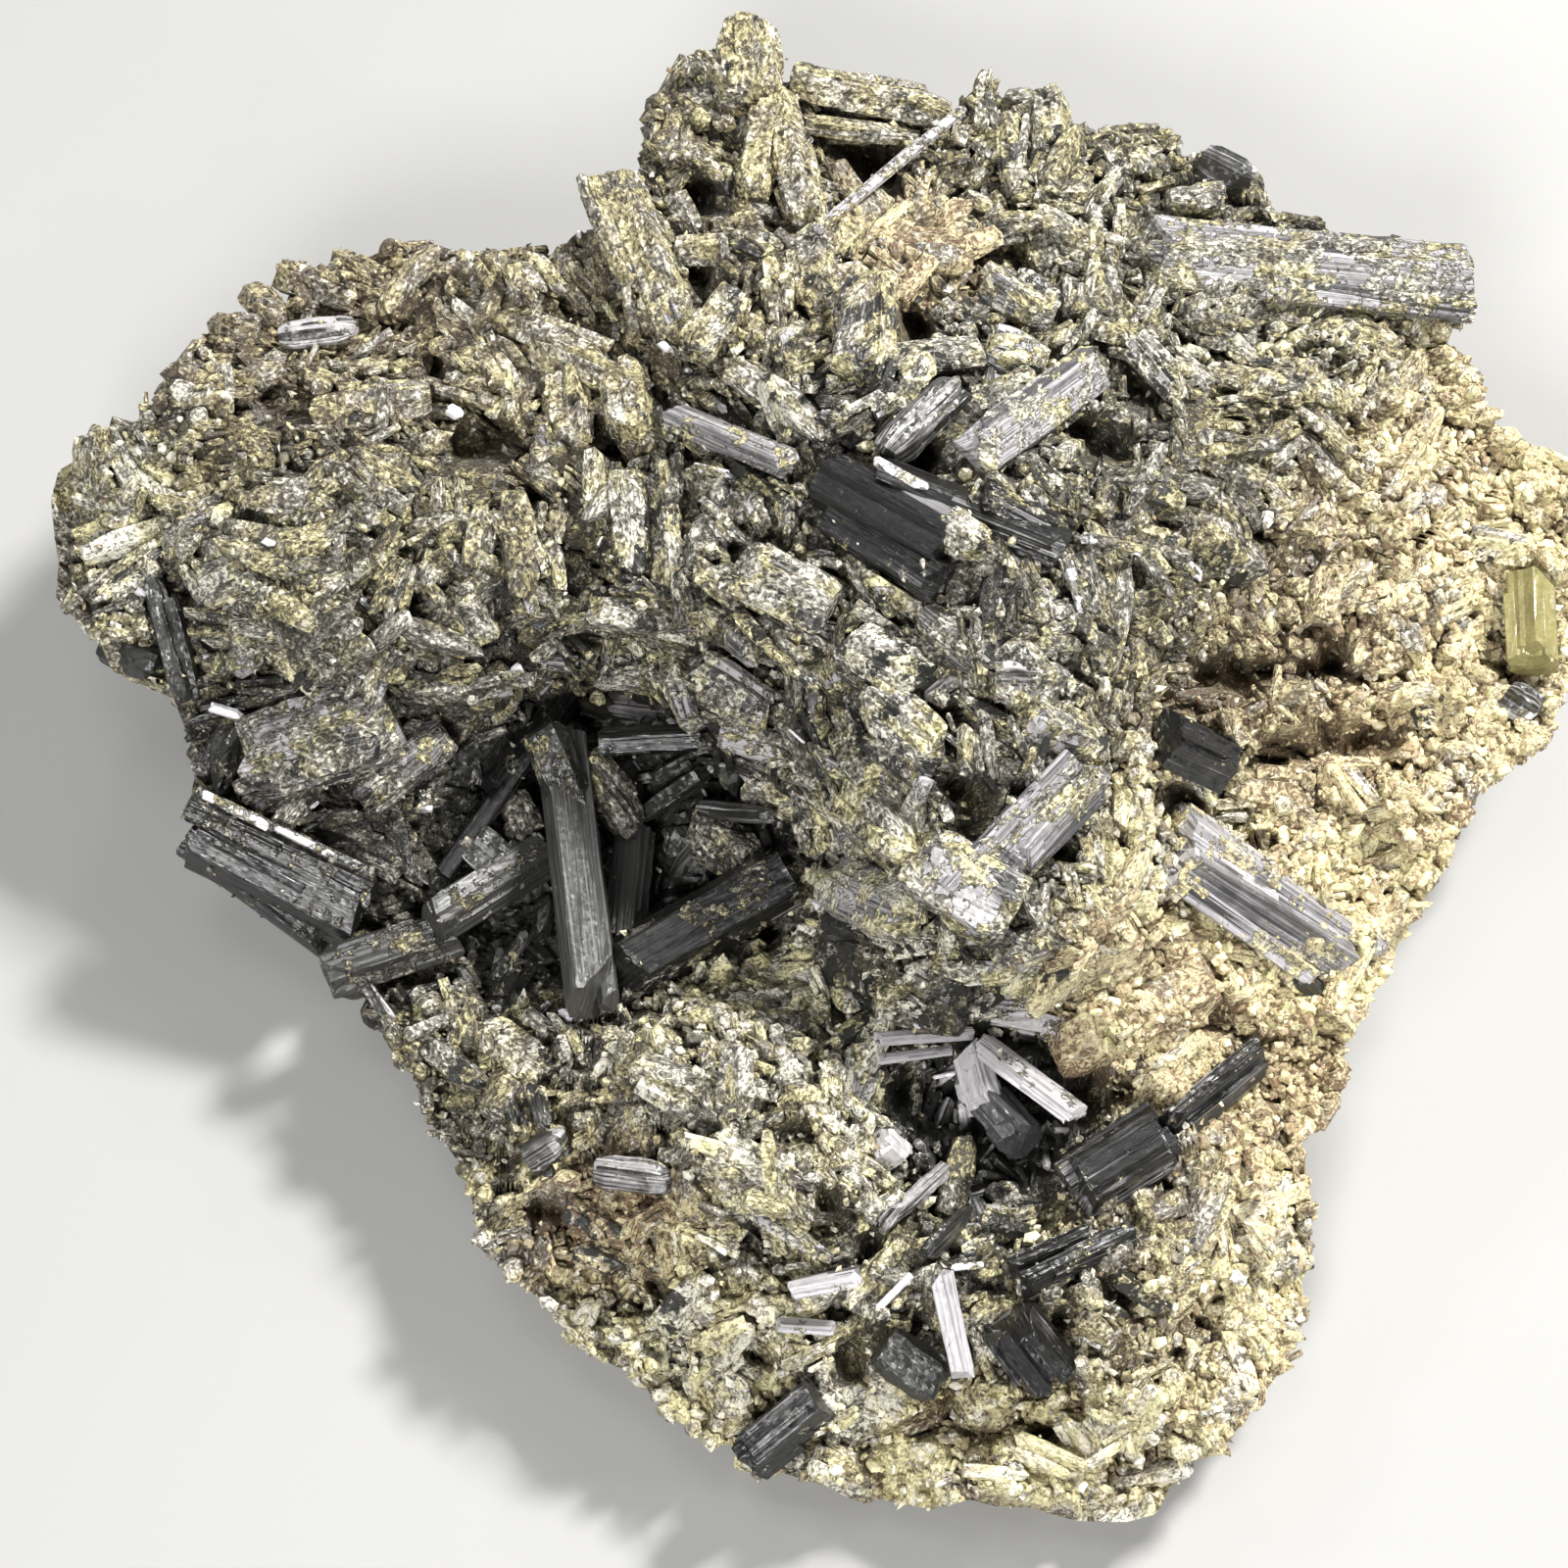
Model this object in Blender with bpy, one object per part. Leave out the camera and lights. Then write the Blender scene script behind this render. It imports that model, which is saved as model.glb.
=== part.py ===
"""Epidote crystal cluster: a matrix of intergrown crystals with larger prisms set in it.

Tables are in millimetres and the scene is in metres, with +Z up. The specimen lies on a flat
underside whose middle is the origin. Places on it are given on a viewing plane that leans back
over the specimen: "across" runs to the right, "up" runs away from the front edge, and a point
of that plane is moved along its sight line to a height above the table.
"""

from dataclasses import dataclass, replace
from math import cos, pi, radians, sin

import bmesh
import bpy
import numpy as np
from mathutils import Matrix, Vector

MM = 0.001
CLUSTER_NAME = "epidote_crystal_cluster"

# Viewing plane
VIEW_TILT = radians(65.0)
VIEW_DISTANCE = 450.0
VIEW_AIM = np.array((-3.8, -5.8, 30.0))
EYE = VIEW_AIM + VIEW_DISTANCE * np.array((0.0, -cos(VIEW_TILT), sin(VIEW_TILT)))

# Clearances
GAP = 0.3
LEAST_HEIGHT = 2.5
WELD = 0.01
LEAST_WEIGHT = 1e-12

# Rim of the rock on the viewing plane, clockwise from the top, seen from the rock's middle
RIM_MIDDLE = (5.0, 5.0)
RIM = (
    (-7.0, 73.5), (-1.5, 73.0), (0.8, 70.5), (7.0, 70.5), (16.5, 67.8), (19.0, 70.5),
    (20.8, 72.0), (22.0, 70.0), (26.8, 70.3), (28.5, 67.5), (31.0, 67.0), (33.0, 65.5),
    (36.0, 67.5), (40.3, 65.5), (40.5, 64.0), (44.0, 64.2), (47.5, 62.8), (49.7, 59.0),
    (51.5, 57.0), (54.8, 57.5), (55.0, 54.0), (62.0, 51.5), (67.0, 49.0), (67.5, 45.0),
    (69.8, 43.5), (71.4, 39.5), (71.2, 38.0), (74.5, 35.2), (79.2, 32.5), (81.5, 30.0),
    (82.6, 24.0), (82.4, 18.0), (81.2, 12.0), (80.0, 10.0), (78.0, 5.5), (75.0, 2.3),
    (70.2, -1.2), (68.5, -5.0), (67.2, -9.0), (63.0, -14.5), (62.0, -18.5), (59.0, -23.0),
    (57.0, -27.0), (56.8, -32.0), (52.8, -36.0), (53.1, -38.5), (54.0, -44.0),
    (52.8, -51.0), (53.2, -54.5), (50.5, -60.0), (48.0, -63.5), (44.5, -68.0),
    (40.5, -69.5), (38.0, -74.5), (35.0, -75.3), (30.0, -75.2), (25.0, -73.8),
    (21.5, -73.7), (19.0, -73.0), (15.0, -74.0), (8.0, -72.5), (0.0, -70.3),
    (-4.0, -70.2), (-4.8, -67.8), (-8.5, -66.0), (-11.0, -65.0), (-15.0, -60.5),
    (-20.0, -57.8), (-22.8, -54.5), (-28.0, -49.7), (-30.7, -46.5), (-32.5, -39.5),
    (-36.0, -34.5), (-37.0, -30.0), (-42.0, -23.0), (-44.0, -19.5), (-43.5, -17.0),
    (-47.5, -15.0), (-54.0, -9.0), (-59.0, -4.5), (-60.5, -1.0), (-59.7, 2.5),
    (-62.0, 8.0), (-62.8, 10.0), (-68.5, 11.5), (-70.0, 15.0), (-74.3, 19.0),
    (-74.0, 22.5), (-74.8, 29.0), (-74.0, 32.0), (-70.5, 34.0), (-70.8, 35.2),
    (-68.5, 36.7), (-66.5, 36.5), (-63.5, 39.8), (-62.0, 43.0), (-58.8, 46.0),
    (-52.5, 46.5), (-49.5, 50.0), (-50.2, 52.0), (-47.5, 52.5), (-45.5, 51.0),
    (-44.5, 52.8), (-38.0, 55.5), (-32.0, 54.0), (-26.5, 54.2), (-24.0, 52.8),
    (-21.5, 56.0), (-19.0, 56.5), (-17.5, 58.5), (-15.5, 61.0), (-14.5, 63.5),
    (-14.0, 69.0), (-12.0, 71.0), (-11.0, 73.0),
)

# Height of the rock above the table: across, up, height
RELIEF_REACH = 6.4
RELIEF = (
    # Ridge from the top lobe down the middle
    (-8.0, 68.0, 36.0), (-1.0, 60.0, 43.0), (-12.0, 55.0, 42.0), (8.0, 64.0, 35.0),
    (0.0, 47.0, 51.0), (12.0, 46.0, 52.0), (8.0, 34.0, 53.0), (20.0, 24.0, 57.0),
    (0.0, 22.0, 52.0), (-10.0, 34.0, 46.0), (22.0, 8.0, 56.0), (10.0, 8.0, 50.0),
    (-2.0, 12.0, 44.0), (20.0, -6.0, 50.0), (14.0, -16.0, 42.0), (27.0, -12.0, 42.0),
    # Left lobe
    (-20.0, 42.0, 40.0), (-33.0, 46.0, 36.0), (-47.0, 48.0, 29.0), (-45.0, 36.0, 40.0),
    (-30.0, 26.0, 42.0), (-18.0, 25.0, 43.0), (-60.0, 32.0, 36.0), (-50.0, 20.0, 40.0),
    (-72.0, 28.0, 26.0), (-66.0, 16.0, 27.0), (-38.0, 15.0, 38.0), (-22.0, 15.0, 36.0),
    # Shelf under the left lobe
    (-58.0, 3.0, 22.0), (-47.0, 3.0, 24.0), (-54.0, -5.0, 16.0), (-43.0, -11.0, 17.0),
    (-36.0, -1.0, 18.0), (-42.0, -18.0, 12.0),
    # Central hollow
    (-25.0, 4.0, 13.0), (-16.0, 3.0, 14.0), (-14.0, -6.0, 10.0), (-25.0, -8.0, 11.0),
    (-24.0, -17.0, 11.0), (-10.0, -14.0, 11.0), (0.0, -17.0, 13.0), (-3.0, -5.0, 26.0),
    # Lower left lobe and pale mound
    (-30.0, -27.0, 18.0), (-20.0, -33.0, 24.0), (-30.0, -41.0, 13.0), (-20.0, -48.0, 18.0),
    (-6.0, -27.0, 36.0), (-3.0, -36.0, 36.0), (5.0, -32.0, 32.0), (-14.0, -40.0, 24.0),
    (-18.0, -56.0, 10.0), (-6.0, -50.0, 24.0),
    # Lower hollow
    (14.5, -31.0, 10.0), (20.0, -36.0, 12.0), (28.0, -30.0, 9.0), (27.0, -37.0, 15.0),
    (35.0, -24.0, 30.0), (38.0, -33.0, 26.0),
    # Right slope, from the ridge to the rim
    (35.0, 24.0, 50.0), (32.0, 40.0, 48.0), (26.0, 54.0, 42.0), (40.0, 56.0, 36.0),
    (22.0, 66.0, 34.0), (50.0, 50.0, 36.0), (50.0, 35.0, 43.0), (62.0, 44.0, 33.0),
    (64.0, 30.0, 34.0), (76.0, 28.0, 26.0), (79.0, 16.0, 22.0), (52.0, 16.0, 35.0),
    (38.0, 6.0, 42.0), (50.0, 2.0, 31.0), (66.0, 4.0, 22.0), (46.0, -8.0, 31.0),
    (58.0, -8.0, 20.0), (48.0, -20.0, 23.0), (56.0, -22.0, 12.0), (50.0, -34.0, 14.0),
    # Bottom lobe
    (8.0, -46.0, 27.0), (20.0, -50.0, 26.0), (34.0, -46.0, 27.0), (45.0, -48.0, 18.0),
    (51.0, -52.0, 9.0), (5.0, -60.0, 17.0), (20.0, -62.0, 17.0), (34.0, -60.0, 18.0),
    (44.0, -62.0, 9.0), (30.0, -72.0, 8.0), (12.0, -71.0, 8.0), (-5.0, -64.0, 9.0),
)

# Lumps and ledges of the rock: cell size, height of the steps, slope of the facets
LUMP_CELL = 8.0
LUMP_STEP = 1.9
LUMP_SLOPE = 0.44
SIDE_LUMP_DEPTH = 4.0
SIDE_LUMP_SPREAD = (60.0, 30.0)
LUMP_TABLE = 64
LUMP_SEED = 11

# Underside: the base is modelled a little low and cut off level with the table
BASE_SUNK = 1.0
FLOOR_CUTTER = (400.0, 400.0, 40.0)
ROCK_SUBDIVISIONS = 5
ROCK_COARSENESS = 0.235
BASE_START = radians(127.0)
BASE_SHARE = 0.74
BASE_MIDDLE = (2.0, 2.0)
SIDE_FULLNESS = 1.7
RIM_SMOOTHING = 9
RIM_SAMPLES = 7

# Small crystals fused to the rock: how many, their sizes, and how low on the wall they start
FUSED_COUNT = 38
SIDE_FUSED_COUNT = 26
FUSED_LENGTH = (7.0, 13.0)
FUSED_WIDTH = (2.6, 5.0)
FUSED_LYING = 0.75
FUSED_TOP_LEAST = 0.03
FUSED_LOWEST = radians(118.0)
FUSED_SEED = 29
SURFACE_STEP = 0.04

# Shape of the crystals: depth where none is given, and the two slanted faces of each tip
DEPTH_SHARE = 0.8
TIP_BITE = 0.35
TIP_OUTWARD = 0.8
START_TIP_LEAN = 0.6
END_TIP_LEAN = -0.5


@dataclass(frozen=True)
class Prism:
    """A prismatic crystal between the middles of its two ends.

    Each end is across, up and its lift above the smooth rock, in millimetres.
    """

    start: tuple
    end: tuple
    width: float
    depth: float = 0.0
    roll: float = 0.0
    start_tip: float = 0.5
    end_tip: float = 1.5
    sides: int = 6
    tip_faces: int = 2


# Larger crystals, in pieces of their own; those of one piece overlap and are joined
CRYSTALS = {
    "left_edge_bundle": (
        Prism((-60.8, -1.8, 3.0), (-42.0, -10.5, 1.5), 3.6, 5.0, 20.0, 0.6, 1.0),
        Prism((-59.5, -4.8, 1.0), (-42.8, -14.0, 0.0), 7.0, 8.0, 10.0, 1.5, 1.5),
        Prism((-61.0, -5.4, -1.0), (-46.2, -16.2, -2.0), 4.0, 6.0, 0.0, 1.0, 2.0),
    ),
    "left_coated_block": (
        Prism((-54.8, 2.2, 1.5), (-39.8, 6.8, 2.0), 8.6, 7.0, 15.0, 2.5, 2.0),
        Prism((-43.5, -1.5, 0.5), (-34.5, 5.5, 2.0), 5.0, 6.0, 0.0, 1.5, 1.0),
    ),
    "lower_left_block": (
        Prism((-36.8, -16.6, 3.0), (-46.6, -19.4, 1.5), 5.4, 6.0, 10.0, 0.5, 3.0),
    ),
    "spray_prism": (
        Prism((-24.5, -7.4, 3.0), (-36.0, -14.6, 5.5), 4.6, 5.0, 25.0, 0.5, 1.0),
    ),
    "hollow_tall_prism": (
        Prism((-23.0, 4.5, 3.5), (-19.9, -22.6, 8.0), 6.2, 6.0, -14.0, 1.0, 4.0, 4),
    ),
    "hollow_second_prism": (
        Prism((-15.2, -5.0, 1.5), (-16.4, -16.6, 3.0), 4.0, 4.5, 10.0, 0.6, 2.0),
    ),
    "hollow_lying_prism": (
        Prism((0.4, -9.6, 2.0), (-18.2, -20.4, 6.0), 6.6, 6.0, 12.0, 1.0, 3.5),
    ),
    "hollow_cross_prism": (
        Prism((-19.0, 4.3, 10.0), (-8.5, 4.9, 2.0), 2.8, 3.0, 15.0, 0.4, 0.5),
    ),
    "hollow_left_rods": (
        Prism((-26.0, 3.0, 4.0), (-34.8, -9.5, 3.0), 2.2, 2.4, 0.0, 0.3, 0.6),
        Prism((-20.8, 10.5, -8.0), (-29.8, -0.5, 4.0), 3.0, 3.0, 0.0, 0.5, 0.6),
    ),
    "centre_black_blades": (
        Prism((4.4, 31.6, 1.0), (17.4, 24.4, 0.0), 6.6, 4.6, 18.0, 0.8, 1.2),
        Prism((5.0, 27.4, -0.5), (16.2, 20.4, -1.0), 4.6, 4.0, 10.0, 0.8, 1.5),
        Prism((9.4, 31.6, 0.5), (28.6, 24.2, -0.5), 3.8, 5.0, 30.0, 0.5, 1.0),
        Prism((20.4, 29.6, 0.5), (29.0, 25.4, -0.5), 3.0, 4.0, 10.0, 0.5, 0.8),
    ),
    "centre_bright_prism": (
        Prism((-11.2, 37.6, 1.5), (0.6, 32.6, 0.0), 2.8, 3.4, 30.0, 0.4, 0.8),
    ),
    "striated_fan": (
        Prism((31.4, 42.0, -0.5), (19.6, 33.4, 1.0), 6.2, 4.0, -18.0, 1.0, 3.5),
    ),
    "tall_stub": (
        Prism((8.4, 51.6, 1.5), (8.0, 41.4, 1.0), 6.8, 6.0, 20.0, 1.2, 1.0),
    ),
    "top_edge_prism": (
        Prism((0.6, 71.8, 1.5), (16.9, 68.6, 1.0), 3.6, 4.5, 20.0, 0.6, 0.8),
    ),
    "top_needle": (
        Prism((3.4, 56.6, 4.6), (18.2, 68.8, 3.4), 1.1, 1.2, 0.0, 0.3, 0.5, 5),
    ),
    "top_peak_block": (
        Prism((-4.0, 76.8, 1.0), (-3.4, 69.6, 1.0), 6.8, 6.0, 12.0, 1.2, 1.0),
        Prism((-8.4, 74.4, 1.5), (-3.8, 70.2, 2.0), 2.4, 4.0, 10.0, 0.5, 0.8),
    ),
    "top_left_prisms": (
        Prism((-19.6, 61.4, 0.5), (-15.0, 50.4, 1.5), 2.8, 4.0, 30.0, 0.5, 0.8),
        Prism((-16.8, 62.0, 0.5), (-10.4, 45.6, 0.5), 5.0, 5.0, 15.0, 0.8, 1.2),
    ),
    "top_tent_prisms": (
        Prism((-1.4, 69.4, 1.5), (-3.8, 59.8, 1.0), 4.0, 4.0, 10.0, 0.6, 0.8),
        Prism((-0.2, 70.0, 1.5), (2.6, 57.2, 1.0), 3.6, 4.5, 20.0, 0.6, 0.8),
    ),
    "small_upper_prism": (
        Prism((-4.4, 50.2, 1.0), (-9.4, 44.2, 3.0), 3.8, 3.6, 20.0, 0.6, 0.5),
    ),
    "right_rim_slab": (
        Prism((36.0, 54.0, -1.0), (70.0, 50.6, 0.0), 8.0, 8.0, 6.0, 1.5, 0.8, 4),
    ),
    "right_striated_bundle": (
        Prism((39.0, -8.6, 1.0), (53.8, -19.2, 0.5), 3.0, 5.0, 10.0, 0.4, 1.0),
        Prism((40.0, -6.6, 1.0), (56.6, -17.0, 0.5), 5.0, 6.0, 20.0, 0.6, 1.2),
        Prism((40.8, -3.4, 1.0), (56.8, -14.4, 0.5), 2.6, 5.0, 10.0, 0.4, 1.0),
    ),
    "right_short_prism": (
        Prism((38.6, 4.8, 2.0), (45.0, 1.8, 1.5), 5.2, 5.0, 28.0, 0.6, 0.6),
    ),
    "ridge_long_prisms": (
        Prism((31.0, 1.0, -1.0), (21.4, -8.6, -1.0), 6.0, 5.0, 10.0, 1.0, 1.5),
        Prism((29.6, 2.6, 1.0), (16.6, -11.0, 0.8), 2.4, 3.6, 30.0, 0.5, 0.8),
        Prism((32.4, 1.2, 1.0), (24.2, -8.0, 0.8), 2.4, 3.6, 30.0, 0.5, 0.8),
    ),
    "lower_hollow_needle_1": (
        Prism((9.2, -26.0, 2.0), (19.0, -25.4, 1.0), 1.3, 1.6, 20.0, 0.3, 0.4, 5),
    ),
    "lower_hollow_needle_2": (
        Prism((9.4, -28.2, 2.0), (16.8, -27.2, 4.0), 1.0, 1.4, 20.0, 0.3, 0.4, 5),
    ),
    "lower_hollow_blocks": (
        Prism((18.8, -26.6, 3.0), (20.6, -33.4, 6.0), 4.4, 5.0, 20.0, 1.6, 1.6),
        Prism((19.8, -26.4, 4.0), (30.0, -34.0, 5.0), 2.2, 3.6, 20.0, 0.5, 0.8),
        Prism((20.0, -31.6, 4.0), (24.4, -36.6, 4.0), 4.6, 7.0, 10.0, 1.6, 1.6),
    ),
    "lower_dark_block": (
        Prism((39.4, -35.8, 0.0), (29.4, -42.0, 1.0), 8.0, 7.0, 15.0, 1.2, 2.0),
    ),
    "lower_right_rods": (
        Prism((48.2, -27.2, 0.5), (39.2, -34.6, 2.5), 2.6, 3.6, 15.0, 0.5, 0.8),
        Prism((48.4, -29.0, 0.0), (40.4, -35.8, 2.0), 2.0, 3.4, 15.0, 0.5, 0.8),
    ),
    "bottom_blade": (
        Prism((16.0, -49.8, 2.0), (18.4, -60.6, 3.0), 2.4, 2.4, 18.0, 1.2, 1.0),
    ),
    "bottom_rods": (
        Prism((35.4, -45.8, 0.5), (24.2, -51.2, 1.5), 2.6, 3.6, 20.0, 0.5, 0.8),
        Prism((31.0, -46.0, 0.5), (22.8, -49.6, 1.0), 2.0, 3.4, 20.0, 0.5, 0.8),
    ),
    "bottom_black_block": (
        Prism((22.6, -54.8, 0.0), (27.4, -61.0, 0.5), 6.6, 7.0, 10.0, 1.6, 1.6),
    ),
    "bottom_edge_prism": (
        Prism((4.2, -62.8, 1.0), (-3.6, -69.2, 1.0), 4.8, 6.0, 20.0, 0.6, 1.2),
    ),
    "pale_rod_1": (
        Prism((0.6, -51.6, 2.0), (7.8, -50.2, 2.0), 1.8, 2.4, 20.0, 0.4, 0.6),
    ),
    "pale_rod_2": (
        Prism((-0.8, -55.2, 2.0), (5.2, -55.6, 2.0), 1.5, 2.2, 20.0, 0.4, 0.6),
    ),
    "yellow_crystal": (
        Prism((75.8, 21.2, 1.0), (76.2, 11.8, 2.0), 5.6, 5.0, 20.0, 2.2, 2.2),
    ),
}

# Medium crystals fused to the rock, placed one by one
FUSED_CRYSTALS = (
    # Left lobe
    Prism((-51.5, 45.5, 1.0), (-43.5, 46.5, 1.0), 3.4, 3.0, 10.0),
    Prism((-48.5, 38.0, 0.5), (-36.0, 39.5, 0.5), 4.2, 4.0, 20.0),
    Prism((-29.0, 48.0, 0.5), (-18.0, 43.0, 1.0), 3.6, 4.0, 20.0),
    Prism((-25.0, 44.5, 0.5), (-14.0, 40.0, 1.0), 3.2, 4.0, 10.0),
    Prism((-16.0, 42.0, 0.0), (-15.0, 35.0, 1.0), 5.6, 5.0, 10.0),
    Prism((-22.0, 41.0, 0.0), (-21.5, 35.0, 1.0), 4.6, 5.0, 10.0),
    Prism((-16.2, 32.0, 1.0), (-15.0, 21.5, 1.0), 3.0, 4.0, 30.0, 1.5, 2.0),
    Prism((-27.0, 26.5, 0.5), (-24.5, 21.0, 1.0), 3.0, 3.0, 10.0),
    Prism((-64.5, 21.0, 1.0), (-61.2, 8.5, 2.0), 2.2, 2.6, 10.0),
    Prism((-62.6, 19.0, 0.5), (-59.8, 8.5, 1.0), 1.8, 2.4, 10.0),
    Prism((-69.5, 14.0, -2.0), (-63.5, 12.0, 0.0), 3.4, 3.0, 0.0),
    Prism((-34.0, 20.0, 0.5), (-30.0, 15.0, 1.0), 5.0, 4.0, 15.0),
    # Top lobe and upper centre
    Prism((-11.0, 54.5, 1.0), (0.0, 55.0, 1.0), 3.0, 3.5, 15.0),
    Prism((1.6, 67.4, 0.5), (14.0, 65.8, 0.5), 2.4, 3.5, 15.0),
    Prism((10.0, 59.2, 1.0), (4.8, 53.8, 1.0), 4.2, 4.0, 15.0),
    Prism((2.6, 56.0, 0.5), (3.6, 49.2, 1.0), 4.4, 4.0, 15.0),
    Prism((23.4, 67.6, 1.0), (23.2, 60.2, 1.0), 2.8, 3.0, 15.0),
    Prism((27.0, 70.4, 0.0), (27.4, 64.6, 1.0), 4.0, 4.0, 5.0),
    Prism((20.6, 72.4, 0.0), (20.0, 67.0, 0.5), 2.0, 2.4, 5.0, 1.4, 0.5),
    Prism((42.8, 63.8, 0.5), (47.6, 61.2, 1.0), 4.0, 4.0, 15.0),
    Prism((39.0, 59.2, 1.0), (45.0, 59.8, 1.0), 3.4, 3.4, 15.0),
    Prism((20.4, 51.6, 1.0), (27.6, 47.6, 1.0), 5.2, 5.0, 15.0),
    Prism((20.6, 44.6, 1.0), (26.6, 42.6, 1.0), 5.0, 5.0, 35.0),
    Prism((35.6, 45.2, 1.0), (41.0, 39.4, 1.0), 3.4, 3.6, 15.0),
    Prism((17.4, 40.4, 0.5), (10.2, 33.4, 0.5), 4.4, 4.4, 10.0),
    # Ridge
    Prism((-5.0, 22.5, 1.0), (5.0, 17.5, 1.0), 8.0, 6.0, 20.0, 2.0, 2.0),
    Prism((7.0, 14.5, 1.0), (14.5, 10.0, 1.0), 6.4, 5.0, 20.0),
    Prism((22.6, 14.4, 1.0), (26.4, 9.2, 1.0), 4.0, 4.0, 20.0),
    Prism((24.4, 7.6, 1.0), (31.6, 4.2, 1.0), 6.0, 5.0, 15.0),
    Prism((6.4, -1.0, 1.0), (14.4, -7.2, 1.0), 8.4, 7.0, 15.0, 2.0, 2.0),
    Prism((3.6, -17.6, 1.0), (18.6, -21.6, 1.0), 6.4, 5.0, 15.0, 2.0, 2.0),
    Prism((30.0, 23.6, 1.0), (32.4, 15.6, 1.0), 3.0, 3.0, 15.0),
    Prism((41.0, 26.0, 0.5), (48.0, 21.6, 1.0), 6.0, 5.0, 15.0),
    Prism((-8.8, -4.2, 2.0), (-3.2, -8.2, 2.0), 5.6, 5.0, 10.0),
    Prism((-8.4, -2.4, 3.0), (-1.2, -3.2, 2.0), 2.0, 2.4, 10.0),
    # Central hollow
    Prism((-20.8, 2.6, 8.0), (-15.4, -4.6, 5.0), 5.0, 5.0, 10.0, 1.5, 1.5),
    Prism((-8.2, 1.0, 1.0), (-14.6, -3.4, 2.0), 2.2, 3.0, 10.0),
    Prism((-28.0, -1.0, 3.0), (-26.0, -6.0, 5.0), 3.6, 3.0, 20.0),
    Prism((-31.8, -5.6, 4.0), (-26.4, -9.8, 4.0), 4.8, 4.0, 20.0),
    # Right slope
    Prism((52.0, -19.4, 1.0), (55.0, -21.8, 1.0), 2.0, 3.0, 20.0),
    Prism((69.4, 25.0, 0.5), (76.2, 24.0, 0.5), 3.6, 3.6, 20.0),
    Prism((64.2, 6.8, 0.5), (74.2, 9.8, 0.5), 2.4, 3.0, 20.0),
    Prism((73.8, 9.2, 0.5), (77.0, 7.2, 0.5), 4.0, 3.6, 20.0),
    Prism((44.0, -20.0, 3.0), (27.2, -27.4, 3.5), 7.0, 6.0, 4.0, 1.0, 3.0),
    # Lower lobes
    Prism((-30.0, -25.4, 1.0), (-24.8, -29.4, 1.0), 4.4, 4.0, 15.0),
    Prism((-26.0, -38.4, 1.0), (-22.4, -36.2, 1.0), 3.2, 3.2, 15.0),
    Prism((-18.8, -39.4, 1.0), (-11.2, -40.4, 1.0), 3.2, 3.4, 15.0),
    Prism((16.0, -39.6, 1.0), (10.4, -44.6, 1.0), 1.8, 3.0, 15.0),
    Prism((18.6, -43.8, 1.0), (14.4, -48.2, 1.0), 2.0, 3.0, 15.0),
    Prism((9.2, -36.2, 1.0), (11.6, -38.4, 1.0), 3.6, 3.6, 15.0),
    Prism((10.0, -57.0, 0.5), (16.0, -61.4, 0.5), 5.0, 4.0, 10.0),
)

# Pits in the rock: across, up, radius, depth
PIT_SIDES = 5
PIT_FOOT_SHARE = 0.6
PIT_MOUTH_SHARE = 1.3
PIT_SQUASH = 0.7
PIT_TURN = 2.4
PIT_FACING = (1.0, 0.0, 0.2)
PITS = (
    (-8.8, 59.5, 2.4, 7.0), (-8.4, 51.2, 2.0, 6.0), (-35.8, 42.4, 1.9, 6.0),
    (-49.5, 39.4, 2.2, 4.0), (-31.2, 34.6, 3.4, 7.0), (-18.4, 35.6, 2.4, 5.0),
    (13.6, 46.4, 2.4, 8.0), (13.4, 32.6, 3.0, 9.0), (37.0, 39.6, 2.4, 6.0),
    (33.2, 34.8, 3.0, 6.0), (8.4, 63.4, 3.2, 6.0), (19.8, -1.2, 2.6, 7.0),
    (14.4, -6.6, 2.2, 6.0), (28.6, -7.0, 1.8, 5.0), (46.0, 11.0, 3.2, 7.0),
    (56.0, 13.0, 3.0, 6.0), (58.4, 4.2, 3.2, 7.0), (52.4, 4.0, 2.4, 5.0),
    (40.4, -1.4, 2.2, 6.0), (31.6, -31.0, 3.2, 8.0), (1.0, -17.6, 2.8, 6.0),
    (44.4, -23.6, 2.4, 5.0), (34.6, -52.4, 2.4, 5.0), (6.8, -59.0, 2.2, 5.0),
    (-28.0, -38.8, 1.8, 4.0), (0.8, -35.8, 2.6, 5.0), (20.0, 53.4, 1.8, 4.0),
)

# Finishes: colour and roughness, and the crystals that are not dark
FINISHES = {
    "matrix": ((0.42, 0.38, 0.24), 0.85),
    "dark": ((0.05, 0.055, 0.045), 0.35),
    "coated": ((0.24, 0.23, 0.19), 0.7),
    "pale": ((0.36, 0.35, 0.37), 0.4),
    "yellow": ((0.45, 0.38, 0.08), 0.25),
}
CRYSTAL_FINISHES = {
    "left_coated_block": "coated",
    "lower_left_block": "coated",
    "top_edge_prism": "coated",
    "top_peak_block": "coated",
    "top_left_prisms": "coated",
    "top_tent_prisms": "coated",
    "small_upper_prism": "coated",
    "right_rim_slab": "coated",
    "tall_stub": "coated",
    "striated_fan": "coated",
    "ridge_long_prisms": "coated",
    "top_needle": "pale",
    "centre_bright_prism": "pale",
    "lower_hollow_needle_1": "pale",
    "lower_hollow_needle_2": "pale",
    "right_striated_bundle": "pale",
    "bottom_blade": "pale",
    "pale_rod_1": "pale",
    "pale_rod_2": "pale",
    "yellow_crystal": "yellow",
}


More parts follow.
